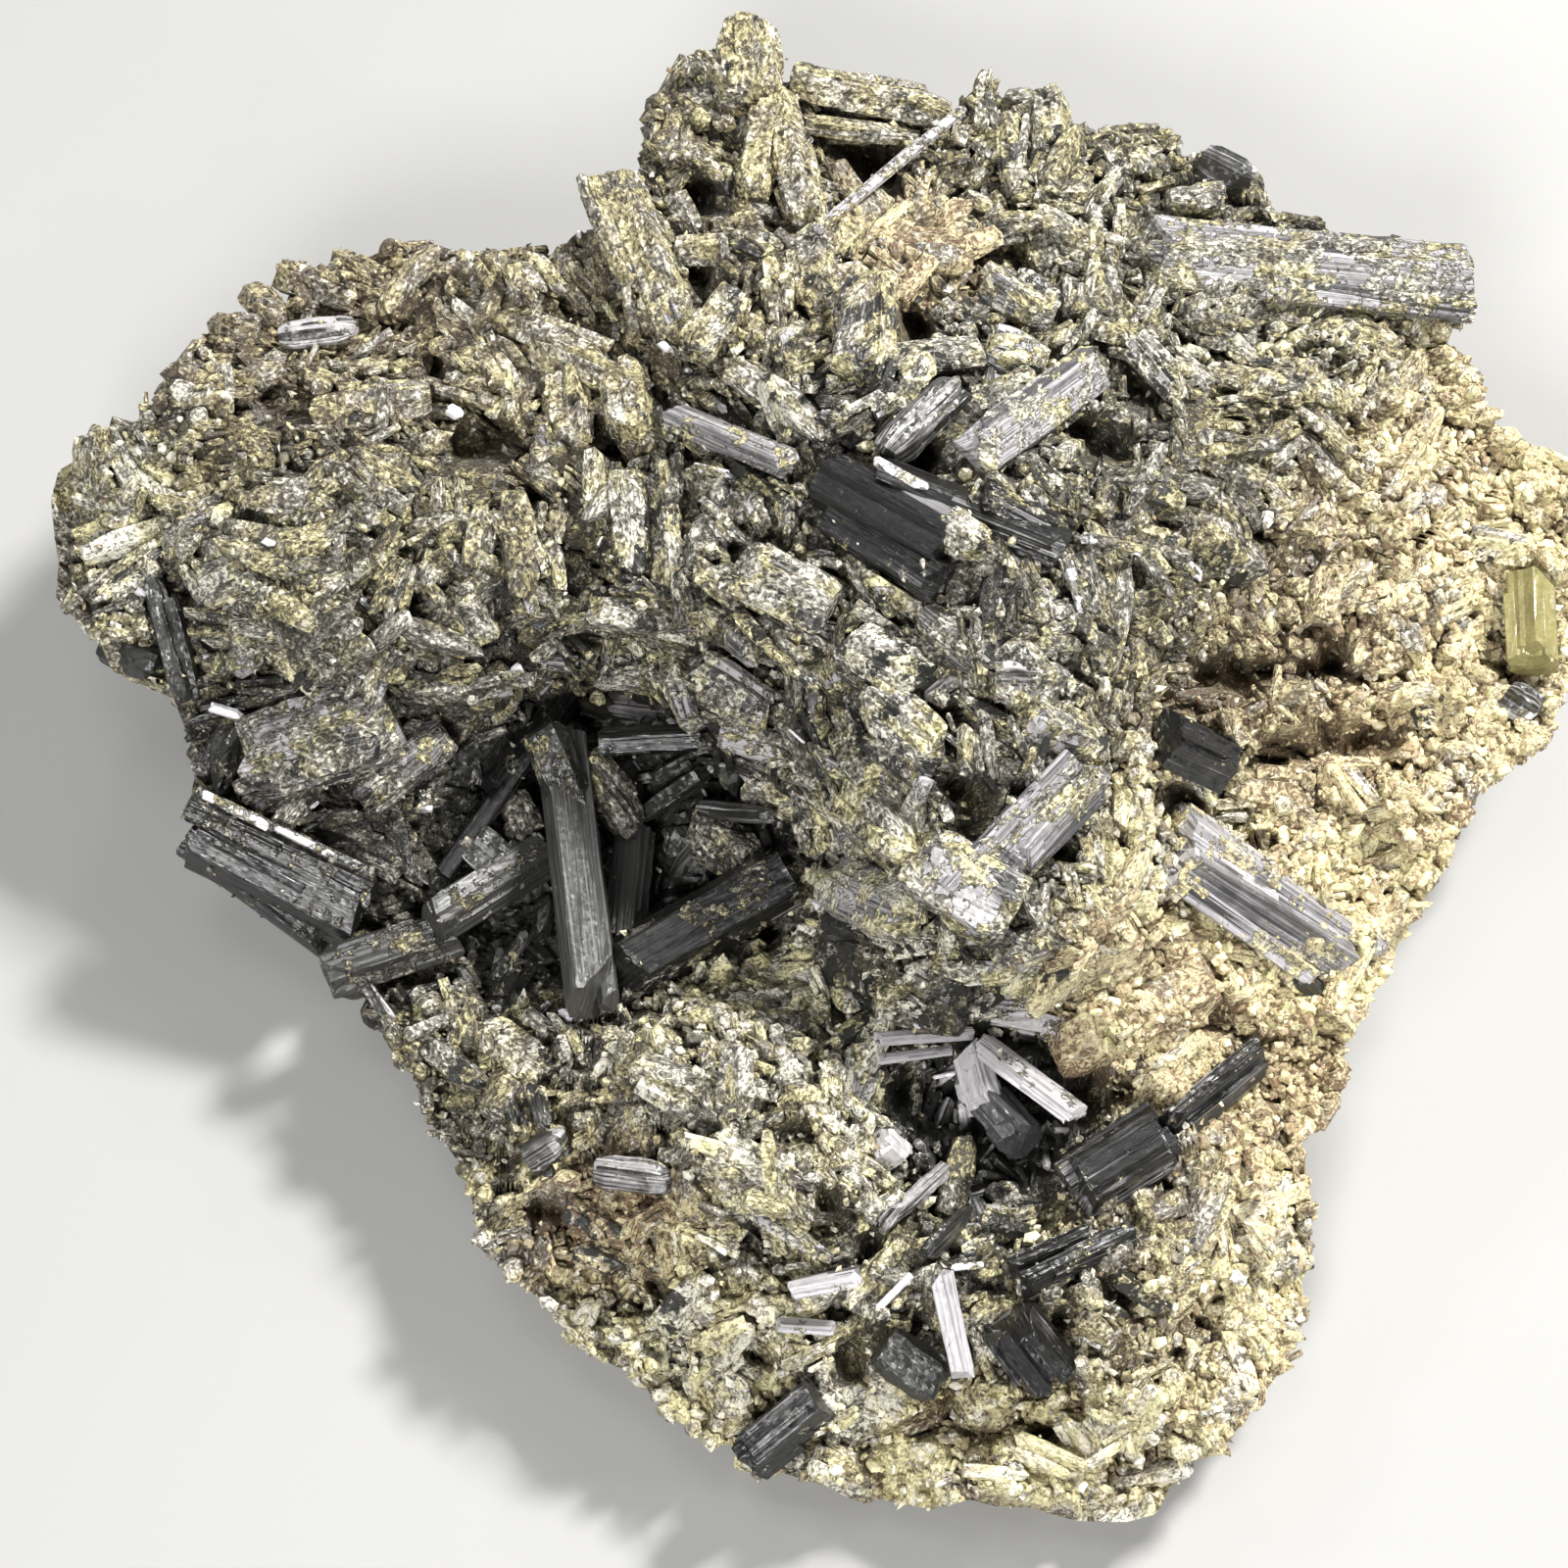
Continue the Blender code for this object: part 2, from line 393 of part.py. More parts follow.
def sight_point(across, up, height):
    """Place in space of a point of the viewing plane at a height above the table."""
    across, up, height = np.broadcast_arrays(across, up, height)
    plane = np.stack(
        (
            VIEW_AIM[0] + across,
            VIEW_AIM[1] + up * sin(VIEW_TILT),
            VIEW_AIM[2] + up * cos(VIEW_TILT),
        ),
        axis=-1,
    )
    share = (height - EYE[2]) / (plane[..., 2] - EYE[2])
    return EYE + share[..., None] * (plane - EYE)


def rim_radius(angle):
    """Distance of the rim from the rock's middle, on the viewing plane, at an angle."""
    rim = np.array(RIM) - np.array(RIM_MIDDLE)
    rim_angle = np.arctan2(rim[:, 1], rim[:, 0]) % (2 * pi)
    order = np.argsort(rim_angle)
    return np.interp(angle, rim_angle[order], np.hypot(*rim.T)[order], period=2 * pi)


def smooth_height(across, up):
    """Height of the rock without its lumps: the relief points, each weighted by nearness."""
    relief = np.array(RELIEF)
    apart = (np.asarray(across)[..., None] - relief[:, 0]) ** 2
    apart = apart + (np.asarray(up)[..., None] - relief[:, 1]) ** 2
    weight = np.exp(-apart / (2 * RELIEF_REACH**2)) + LEAST_WEIGHT
    return (weight * relief[:, 2]).sum(-1) / weight.sum(-1)


def facet_relief(across, up, cell, seed):
    """Broken facets: each point takes the offset and slopes of its nearest scattered cell."""
    table = np.random.default_rng(seed).random((LUMP_TABLE, LUMP_TABLE, 5))
    column, row = np.floor(across / cell).astype(int), np.floor(up / cell).astype(int)
    nearest = np.full(np.shape(across), np.inf)
    offset = np.zeros_like(nearest)
    slope = np.zeros_like(nearest)
    for step_x in (-1, 0, 1):
        for step_y in (-1, 0, 1):
            pick = table[(column + step_x) % LUMP_TABLE, (row + step_y) % LUMP_TABLE]
            apart_x = across - (column + step_x + pick[..., 0]) * cell
            apart_y = up - (row + step_y + pick[..., 1]) * cell
            apart = apart_x**2 + apart_y**2
            closer = apart < nearest
            nearest = np.where(closer, apart, nearest)
            offset = np.where(closer, 2 * pick[..., 2] - 1, offset)
            tilt = (2 * pick[..., 3] - 1) * apart_x + (2 * pick[..., 4] - 1) * apart_y
            slope = np.where(closer, tilt, slope)
    return offset, slope


def rock_height(across, up):
    """Height of the rock with its lumps and ledges."""
    offset, slope = facet_relief(across, up, LUMP_CELL, LUMP_SEED)
    height = smooth_height(across, up) + LUMP_STEP * offset + LUMP_SLOPE * slope
    return np.maximum(height, LEAST_HEIGHT)


def rim_places(angle):
    """Places in space of the rim, and of the smoother outline that the base follows."""
    radius = rim_radius(angle)
    across = RIM_MIDDLE[0] + radius * np.cos(angle)
    up = RIM_MIDDLE[1] + radius * np.sin(angle)
    rim = sight_point(across, up, rock_height(across, up))
    spread = np.radians(np.linspace(-RIM_SMOOTHING, RIM_SMOOTHING, RIM_SAMPLES))
    near = rim_radius(angle[..., None] + spread).mean(-1)
    across = RIM_MIDDLE[0] + near * np.cos(angle)
    up = RIM_MIDDLE[1] + near * np.sin(angle)
    outline = sight_point(across, up, np.full_like(across, LEAST_HEIGHT))
    return rim, outline


def rock_surface(angle, fall):
    """The closed rock: top sheet to a fall of 90 degrees, then side wall, then flat base.

    The top sheet spreads evenly over the viewing plane, the wall drops from the rim to the
    base's edge along a full curve, and the base fills its own outline at height 0.
    """
    reach = np.sqrt(2.0) * np.sin(np.minimum(fall, pi / 2) / 2)
    radius = rim_radius(angle) * reach
    across = RIM_MIDDLE[0] + radius * np.cos(angle)
    up = RIM_MIDDLE[1] + radius * np.sin(angle)
    top = sight_point(across, up, rock_height(across, up))

    rim, outline = rim_places(angle)
    base_middle = np.array((*BASE_MIDDLE, -BASE_SUNK))
    edge = base_middle + BASE_SHARE * (outline - base_middle)
    edge[..., 2] = -BASE_SUNK
    drop = np.clip((fall - pi / 2) / (BASE_START - pi / 2), 0.0, 1.0)[..., None]
    wall = rim + (edge - rim) * drop**SIDE_FULLNESS
    wall[..., 2] = (rim[..., 2:] + (edge[..., 2:] - rim[..., 2:]) * drop)[..., 0]
    places = angle * SIDE_LUMP_SPREAD[0], drop[..., 0] * SIDE_LUMP_SPREAD[1]
    offset, _ = facet_relief(*places, LUMP_CELL, LUMP_SEED + 1)
    dent = SIDE_LUMP_DEPTH * (offset - 1) / 2 * np.sin(pi * drop[..., 0])
    wall[..., 0] += dent * np.cos(angle)
    wall[..., 1] += dent * np.sin(angle)

    inward = np.sin((pi - fall) / 2) / sin((pi - BASE_START) / 2)
    base = base_middle + (edge - base_middle) * np.minimum(inward, 1.0)[..., None]
    is_top = (fall <= pi / 2)[..., None]
    is_base = (fall >= BASE_START)[..., None]
    return np.where(is_top, top, np.where(is_base, base, wall))


def collection(name, parent):
    """A collection inside another."""
    made = bpy.data.collections.new(name)
    parent.children.link(made)
    return made


def material(name, colour, roughness):
    """A Principled material of one colour."""
    made = bpy.data.materials.new(name)
    made.use_nodes = True
    shader = made.node_tree.nodes["Principled BSDF"]
    shader.inputs["Base Color"].default_value = (*colour, 1.0)
    shader.inputs["Roughness"].default_value = roughness
    return made


def new_object(name, mesh_source, home):
    """An object from a bmesh, in a collection."""
    mesh = bpy.data.meshes.new(name)
    mesh_source.to_mesh(mesh)
    mesh_source.free()
    made = bpy.data.objects.new(name, mesh)
    home.objects.link(made)
    return made


def rock_mesh():
    """The rock: an icosphere whose points move to the rock's surface, with one flat base."""
    rock = bmesh.new()
    bmesh.ops.create_icosphere(rock, subdivisions=ROCK_SUBDIVISIONS, radius=1.0)
    points = np.array([vertex.co for vertex in rock.verts])
    angle = np.arctan2(points[:, 1], points[:, 0])
    fall = np.arccos(np.clip(points[:, 2], -1.0, 1.0))
    places = rock_surface(angle, fall) * MM
    for vertex, place in zip(rock.verts, places):
        vertex.co = place
    low = (WELD - BASE_SUNK) * MM
    flat = [face for face in rock.faces if all(vertex.co.z < low for vertex in face.verts)]
    bmesh.ops.dissolve_faces(rock, faces=flat, use_verts=True)
    return rock


def prism_ends(prism):
    """Places in space of a prism's two ends, in metres."""
    ends = np.array((prism.start, prism.end))
    height = smooth_height(ends[:, 0], ends[:, 1]) + ends[:, 2]
    start, end = sight_point(ends[:, 0], ends[:, 1], height) * MM
    return Vector(start), Vector(end)


def prism_mesh(prism, start, end, growth=0.0):
    """A prism with chiselled tips, turned from a cone's ends to its place.

    growth widens it all round and lengthens it, in millimetres.
    """
    crystal = bmesh.new()
    length = (end - start).length + 2 * growth * MM
    bmesh.ops.create_cone(
        crystal, cap_ends=True, segments=prism.sides, radius1=0.5, radius2=0.5, depth=length
    )
    width = (prism.width + 2 * growth) * MM
    depth = ((prism.depth or DEPTH_SHARE * prism.width) + 2 * growth) * MM
    bmesh.ops.scale(crystal, vec=(width, depth, 1.0), verts=crystal.verts)
    tips = ((-1, prism.start_tip, START_TIP_LEAN), (1, prism.end_tip, END_TIP_LEAN))
    for side, tip, lean in tips:
        for slant in (1, -1)[: prism.tip_faces]:
            normal = Vector((lean * slant, TIP_OUTWARD * slant, side)).normalized()
            reach = length / 2 + (growth - TIP_BITE * tip) * MM
            cut_tip(crystal, Vector((0.0, 0.0, side * reach)), normal)
    along = (end - start).normalized()
    facing = Vector(EYE * MM) - (start + end) / 2
    turn = frame_along(along, facing) @ Matrix.Rotation(radians(prism.roll), 4, "Z")
    bmesh.ops.transform(
        crystal, matrix=Matrix.Translation((start + end) / 2) @ turn, verts=crystal.verts
    )
    return crystal


def cut_tip(crystal, corner, normal):
    """Cuts a slanted face at a prism's end and closes it."""
    cut = bmesh.ops.bisect_plane(
        crystal,
        geom=crystal.verts[:] + crystal.edges[:] + crystal.faces[:],
        plane_co=corner,
        plane_no=normal,
        clear_outer=True,
    )
    rim = [item for item in cut["geom_cut"] if isinstance(item, bmesh.types.BMEdge)]
    if rim:
        bmesh.ops.contextual_create(crystal, geom=rim)


def frame_along(along, facing):
    """A turn that sets Z along a direction and Y as near as it can to another."""
    side = facing.cross(along).normalized()
    front = along.cross(side).normalized()
    turn = Matrix((side, front, along)).transposed()
    return turn.to_4x4()


def add_boolean(target, operands, operation, name):
    """Adds a Boolean modifier that joins or cuts every object of a collection."""
    boolean = target.modifiers.new(name, "BOOLEAN")
    boolean.operation = operation
    boolean.operand_type = "COLLECTION"
    boolean.collection = operands
    boolean.solver = "EXACT"


def hide_cutter(cutter):
    """Marks an object as a guide that only shapes others."""
    cutter.hide_render = True
    cutter.display_type = "WIRE"


def keep_largest(target):
    """Turns an object's modifiers into its mesh and drops crumbs that a cut has parted."""
    evaluated = target.evaluated_get(bpy.context.evaluated_depsgraph_get())
    mesh = bpy.data.meshes.new_from_object(evaluated)
    target.modifiers.clear()
    target.data = mesh
    solid = bmesh.new()
    solid.from_mesh(mesh)
    bmesh.ops.triangulate(solid, faces=solid.faces)
    bmesh.ops.remove_doubles(solid, verts=solid.verts, dist=WELD * MM)
    bmesh.ops.dissolve_degenerate(solid, edges=solid.edges, dist=WELD * MM)
    groups = []
    left = set(solid.faces)
    while left:
        group, front = set(), {left.pop()}
        while front:
            group |= front
            edges = {edge for face in front for edge in face.edges if len(edge.link_faces) == 2}
            front = {face for edge in edges for face in edge.link_faces} - group
        left -= group
        groups.append(group)
    largest = max(groups, key=len)
    loose = [face for face in solid.faces if face not in largest]
    bmesh.ops.delete(solid, geom=loose, context="FACES")
    solid.to_mesh(mesh)
    solid.free()


def scattered_prisms():
    """Small crystals that follow a seeded scatter over the top and the side wall."""
    draw = np.random.default_rng(FUSED_SEED)
    prisms = []
    for index in range(FUSED_COUNT + SIDE_FUSED_COUNT):
        on_side = index >= FUSED_COUNT
        angle = draw.uniform(0, 2 * pi)
        fall = np.arccos(draw.uniform(FUSED_TOP_LEAST, 1))
        if on_side:
            fall = draw.uniform(pi / 2, FUSED_LOWEST)
        angles = np.array((angle, angle + SURFACE_STEP, angle))
        falls = np.array((fall, fall, fall + SURFACE_STEP))
        here, near, below = rock_surface(angles, falls)
        normal = Vector(np.cross(below - here, near - here)).normalized()
        lean = Vector(draw.normal(size=3)).normalized()
        along = (lean - lean.dot(normal) * normal * FUSED_LYING).normalized()
        length = draw.uniform(*FUSED_LENGTH)
        width = draw.uniform(*FUSED_WIDTH)
        middle = Vector(here)
        half = along * length / 2
        roll = draw.uniform(0, 60)
        prism = Prism((0, 0, 0), (0, 0, 0), width, roll=roll, sides=5, tip_faces=1)
        prisms.append((prism, (middle - half) * MM, (middle + half) * MM))
    return prisms


def lowest(crystal):
    """Height of the lowest point of a mesh."""
    return min(vertex.co.z for vertex in crystal.verts)


def build_crystals(home, cutters, finishes):
    """The larger crystals: each piece joins its prisms in one solid."""
    sockets = collection("sockets", cutters)
    for name, prisms in CRYSTALS.items():
        for index, prism in enumerate(prisms):
            grown = prism_mesh(prism, *prism_ends(prism), GAP)
            hide_cutter(new_object(f"{name}_socket_{index}", grown, sockets))
        crystal = new_object(name, prism_mesh(prisms[0], *prism_ends(prisms[0])), home)
        crystal.data.materials.append(finishes[CRYSTAL_FINISHES.get(name, "dark")])
        if len(prisms) == 1:
            continue
        others = collection(f"{name}_others", cutters)
        for index, prism in enumerate(prisms[1:], 1):
            other = prism_mesh(prism, *prism_ends(prism))
            hide_cutter(new_object(f"{name}_{index}", other, others))
        add_boolean(crystal, others, "UNION", "joined crystals")
    return sockets


def build_pits(cutters):
    """Rough pits, as squashed few-sided cones that run into the rock along the sight line."""
    pits = collection("pits", cutters)
    for index, (across, up, radius, depth) in enumerate(PITS):
        height = float(rock_height(np.array([across]), np.array([up]))[0])
        mouth = Vector(sight_point(across, up, height + radius) * MM)
        foot = Vector(sight_point(across, up, height - depth) * MM)
        cone = bmesh.new()
        bmesh.ops.create_cone(
            cone,
            cap_ends=True,
            segments=PIT_SIDES,
            radius1=PIT_FOOT_SHARE * radius * MM,
            radius2=PIT_MOUTH_SHARE * radius * MM,
            depth=(mouth - foot).length,
        )
        bmesh.ops.scale(cone, vec=(1.0, PIT_SQUASH, 1.0), verts=cone.verts)
        turn = frame_along((mouth - foot).normalized(), Vector(PIT_FACING))
        turn = turn @ Matrix.Rotation(index * PIT_TURN, 4, "Z")
        place = Matrix.Translation((mouth + foot) / 2) @ turn
        bmesh.ops.transform(cone, matrix=place, verts=cone.verts)
        hide_cutter(new_object(f"pit_{index}", cone, pits))
    return pits


def build_floor_cutter(cutters):
    """A block whose top is the table's level, which leaves the underside flat."""
    floor = collection("floor", cutters)
    block = bmesh.new()
    bmesh.ops.create_cube(block, size=1.0)
    bmesh.ops.scale(block, vec=Vector(FLOOR_CUTTER) * MM, verts=block.verts)
    bmesh.ops.translate(block, vec=(0.0, 0.0, -FLOOR_CUTTER[2] / 2 * MM), verts=block.verts)
    hide_cutter(new_object("floor_cutter", block, floor))
    return floor


def build_matrix(home, cutters, sockets, finishes):
    """The rock with its fused crystals, its pits and the sockets of the larger crystals."""
    matrix = new_object("matrix", rock_mesh(), home)
    coarse = matrix.modifiers.new("coarse facets", "DECIMATE")
    coarse.ratio = ROCK_COARSENESS
    fused = collection("fused_crystals", cutters)
    plain = [replace(prism, sides=5, tip_faces=1) for prism in FUSED_CRYSTALS]
    placed = [(prism, *prism_ends(prism)) for prism in plain]
    for index, (prism, start, end) in enumerate(placed + scattered_prisms()):
        crystal = prism_mesh(prism, start, end)
        if lowest(crystal) < LEAST_HEIGHT * MM / 2:
            crystal.free()
            continue
        hide_cutter(new_object(f"fused_{index}", crystal, fused))
    add_boolean(matrix, fused, "UNION", "fused crystals")
    add_boolean(matrix, build_pits(cutters), "DIFFERENCE", "pits")
    add_boolean(matrix, sockets, "DIFFERENCE", "sockets")
    add_boolean(matrix, build_floor_cutter(cutters), "DIFFERENCE", "flat underside")
    keep_largest(matrix)
    matrix.data.materials.append(finishes["matrix"])


def main():
    """Clears the scene and builds the cluster."""
    for old in list(bpy.data.objects):
        bpy.data.objects.remove(old)
    scene_root = bpy.context.scene.collection
    home = collection(CLUSTER_NAME, scene_root)
    cutters = collection("cutters", scene_root)
    finishes = {name: material(name, *values) for name, values in FINISHES.items()}
    sockets = build_crystals(home, cutters, finishes)
    build_matrix(home, cutters, sockets, finishes)


main()
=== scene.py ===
"""Epidote crystal cluster on a pale floor.

The rock, its larger prisms, its smaller crystals and its grains are surfaces worked out as whole
arrays. Lengths are millimetres until a mesh is made, and meshes are in metres, in the frame of the
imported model. A place on the specimen is given on a viewing plane that leans back over it: "across"
runs to the right and "up" away from the front edge, and a sight line carries the place to a height
above the table.
"""

import logging
import math
from dataclasses import dataclass, replace
from enum import Enum

import bpy
import numpy as np
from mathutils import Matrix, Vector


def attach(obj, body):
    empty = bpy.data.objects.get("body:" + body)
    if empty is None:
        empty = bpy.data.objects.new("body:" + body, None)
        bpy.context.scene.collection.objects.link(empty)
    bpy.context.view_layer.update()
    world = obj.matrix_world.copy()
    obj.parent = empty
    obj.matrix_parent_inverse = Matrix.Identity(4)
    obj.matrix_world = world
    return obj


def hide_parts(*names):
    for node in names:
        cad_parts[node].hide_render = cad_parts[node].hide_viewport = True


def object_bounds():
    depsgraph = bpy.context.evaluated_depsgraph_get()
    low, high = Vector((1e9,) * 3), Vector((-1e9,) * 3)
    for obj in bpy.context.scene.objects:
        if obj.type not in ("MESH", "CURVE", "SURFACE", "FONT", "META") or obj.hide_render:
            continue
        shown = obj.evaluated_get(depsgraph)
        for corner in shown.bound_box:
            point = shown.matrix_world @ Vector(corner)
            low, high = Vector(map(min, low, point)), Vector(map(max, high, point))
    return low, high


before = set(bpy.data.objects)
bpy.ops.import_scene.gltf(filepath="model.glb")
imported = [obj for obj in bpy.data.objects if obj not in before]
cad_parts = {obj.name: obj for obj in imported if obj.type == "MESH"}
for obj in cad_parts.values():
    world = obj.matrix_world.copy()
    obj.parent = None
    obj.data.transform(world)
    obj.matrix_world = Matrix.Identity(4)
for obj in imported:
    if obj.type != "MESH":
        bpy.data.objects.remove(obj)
CAD_BOX = [list(corner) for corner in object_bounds()]

Array = np.ndarray
Generator = np.random.Generator
Rows = tuple[tuple[float, ...], ...]
Pair = tuple[float, float]
Place = tuple[float, float, float]
Colour = tuple[float, float, float]
Material = bpy.types.Material
Node = bpy.types.Node
Socket = bpy.types.NodeSocket
MM = 0.001
BODY = "root"
LOG = logging.getLogger("cluster")


@dataclass(frozen=True)
class ViewPlane:
    """The plane on which places are given, and the eye that looks at its middle.

    The eye lies distance from aim, tilt above the horizon, and the picture is half_width wide to
    each side of aim.
    """

    tilt: float = math.radians(65.0)
    distance: float = 450.0
    aim: Place = (-3.8, -5.8, 30.0)
    half_width: float = 80.0

    @property
    def eye(self) -> Array:
        """Place of the eye: aim plus distance along (0, -cos tilt, sin tilt)."""
        away = np.array((0.0, -math.cos(self.tilt), math.sin(self.tilt)))
        return np.array(self.aim) + self.distance * away

    def point(self, across: Array, up: Array, height: Array) -> Array:
        """Carries places of the plane along their sight lines to a height.

        The plane's point is Q = aim + across (1, 0, 0) + up (0, sin tilt, cos tilt), and the
        result is eye + s (Q - eye), where s makes its z the height.

        Args:
            across: Places across.
            up: Places up.
            height: Heights above the table.

        Returns:
            Points, with x, y and z last.
        """
        across, up, height = np.broadcast_arrays(across, up, height)
        rows = (across, up * math.sin(self.tilt), up * math.cos(self.tilt))
        plane = np.stack([start + row for start, row in zip(self.aim, rows)], axis=-1)
        eye = self.eye
        share = (height - eye[2]) / (plane[..., 2] - eye[2])
        return eye + share[..., None] * (plane - eye)

    def place(self, points: Array) -> tuple[Array, Array]:
        """Finds the places of the plane that lie on the sight lines of points.

        Q = eye + s (P - eye) with s = distance / ((P - eye) . n), n pointing from eye to aim.

        Args:
            points: Points, with x, y and z last.

        Returns:
            Places across and up.
        """
        inward = np.array((0.0, math.cos(self.tilt), -math.sin(self.tilt)))
        ray = points - self.eye
        on_plane = self.eye + ray * (self.distance / (ray @ inward))[..., None]
        offset = on_plane - np.array(self.aim)
        upward = np.array((0.0, math.sin(self.tilt), math.cos(self.tilt)))
        return offset[..., 0], offset @ upward


VIEW = ViewPlane()

# Rim of the rock, clockwise from the top: across, up
RIM = np.array((
    (-7, 73.5), (-1.5, 73), (0.8, 70.5), (7, 70.5), (16.5, 67.8), (19, 70.5), (20.8, 72), (22, 70),
    (26.8, 70.3), (28.5, 67.5), (31, 67), (33, 65.5), (36, 67.5), (40.3, 65.5), (40.5, 64),
    (44, 64.2), (47.5, 62.8), (49.7, 59), (51.5, 57), (54.8, 57.5), (55, 54), (62, 51.5), (67, 49),
    (67.5, 45), (69.8, 43.5), (71.4, 39.5), (71.2, 38), (74.5, 35.2), (79.2, 32.5), (81.5, 30),
    (82.6, 24), (82.4, 18), (81.2, 12), (80, 10), (78, 5.5), (75, 2.3), (70.2, -1.2), (68.5, -5),
    (67.2, -9), (63, -14.5), (62, -18.5), (59, -23), (57, -27), (56.8, -32), (52.8, -36),
    (53.1, -38.5), (54, -44), (52.8, -51), (53.2, -54.5), (50.5, -60), (48, -63.5), (44.5, -68),
    (40.5, -69.5), (38, -74.5), (35, -75.3), (30, -75.2), (25, -73.8), (21.5, -73.7), (19, -73),
    (15, -74), (8, -72.5), (0, -70.3), (-4, -70.2), (-4.8, -67.8), (-8.5, -66), (-11, -65),
    (-15, -60.5), (-20, -57.8), (-22.8, -54.5), (-28, -49.7), (-30.7, -46.5), (-32.5, -39.5),
    (-36, -34.5), (-37, -30), (-42, -23), (-44, -19.5), (-43.5, -17), (-47.5, -15), (-54, -9),
    (-59, -4.5), (-60.5, -1), (-59.7, 2.5), (-62, 8), (-62.8, 10), (-68.5, 11.5), (-70, 15),
    (-74.3, 19), (-74, 22.5), (-74.8, 29), (-74, 32), (-70.5, 34), (-70.8, 35.2), (-68.5, 36.7),
    (-66.5, 36.5), (-63.5, 39.8), (-62, 43), (-58.8, 46), (-52.5, 46.5), (-49.5, 50), (-50.2, 52),
    (-47.5, 52.5), (-45.5, 51), (-44.5, 52.8), (-38, 55.5), (-32, 54), (-26.5, 54.2), (-24, 52.8),
    (-21.5, 56), (-19, 56.5), (-17.5, 58.5), (-15.5, 61), (-14.5, 63.5), (-14, 69), (-12, 71),
    (-11, 73),
))

# Height of the rock above the table: across, up, height
RELIEF = np.array((
    # Ridge from the top lobe down the middle
    (-8, 68, 36), (-1, 60, 43), (-12, 55, 42), (8, 64, 35), (0, 47, 51), (12, 46, 52), (8, 34, 53),
    (20, 24, 57), (0, 22, 52), (-10, 34, 46), (22, 8, 56), (10, 8, 50), (-2, 12, 44), (20, -6, 50),
    (14, -16, 42), (27, -12, 42),
    # Left lobe
    (-20, 42, 40), (-33, 46, 36), (-47, 48, 29), (-45, 36, 40), (-30, 26, 42), (-18, 25, 43),
    (-60, 32, 36), (-50, 20, 40), (-72, 28, 26), (-66, 16, 27), (-38, 15, 38), (-22, 15, 36),
    # Shelf under the left lobe
    (-58, 3, 22), (-47, 3, 24), (-54, -5, 16), (-43, -11, 17), (-36, -1, 18), (-42, -18, 12),
    # Central hollow
    (-25, 4, 13), (-16, 3, 14), (-14, -6, 10), (-25, -8, 11), (-24, -17, 11), (-10, -14, 11),
    (0, -17, 13), (-3, -5, 26),
    # Lower left lobe and pale mound
    (-30, -27, 18), (-20, -33, 24), (-30, -41, 13), (-20, -48, 18), (-6, -27, 36), (-3, -36, 36),
    (5, -32, 32), (-14, -40, 24), (-18, -56, 10), (-6, -50, 24),
    # Lower hollow
    (14.5, -31, 10), (20, -36, 12), (28, -30, 9), (27, -37, 15), (35, -24, 30), (38, -33, 26),
    # Right slope, from the ridge to the rim
    (35, 24, 50), (32, 40, 48), (26, 54, 42), (40, 56, 36), (22, 66, 34), (50, 50, 36),
    (50, 35, 43), (62, 44, 33), (64, 30, 34), (76, 28, 26), (79, 16, 22), (52, 16, 35),
    (38, 6, 42), (50, 2, 31), (66, 4, 22), (46, -8, 31), (58, -8, 20), (48, -20, 23),
    (56, -22, 12), (50, -34, 14),
    # Bottom lobe
    (8, -46, 27), (20, -50, 26), (34, -46, 27), (45, -48, 18), (51, -52, 9), (5, -60, 17),
    (20, -62, 17), (34, -60, 18), (44, -62, 9), (30, -72, 8), (12, -71, 8), (-5, -64, 9),
), dtype=float)

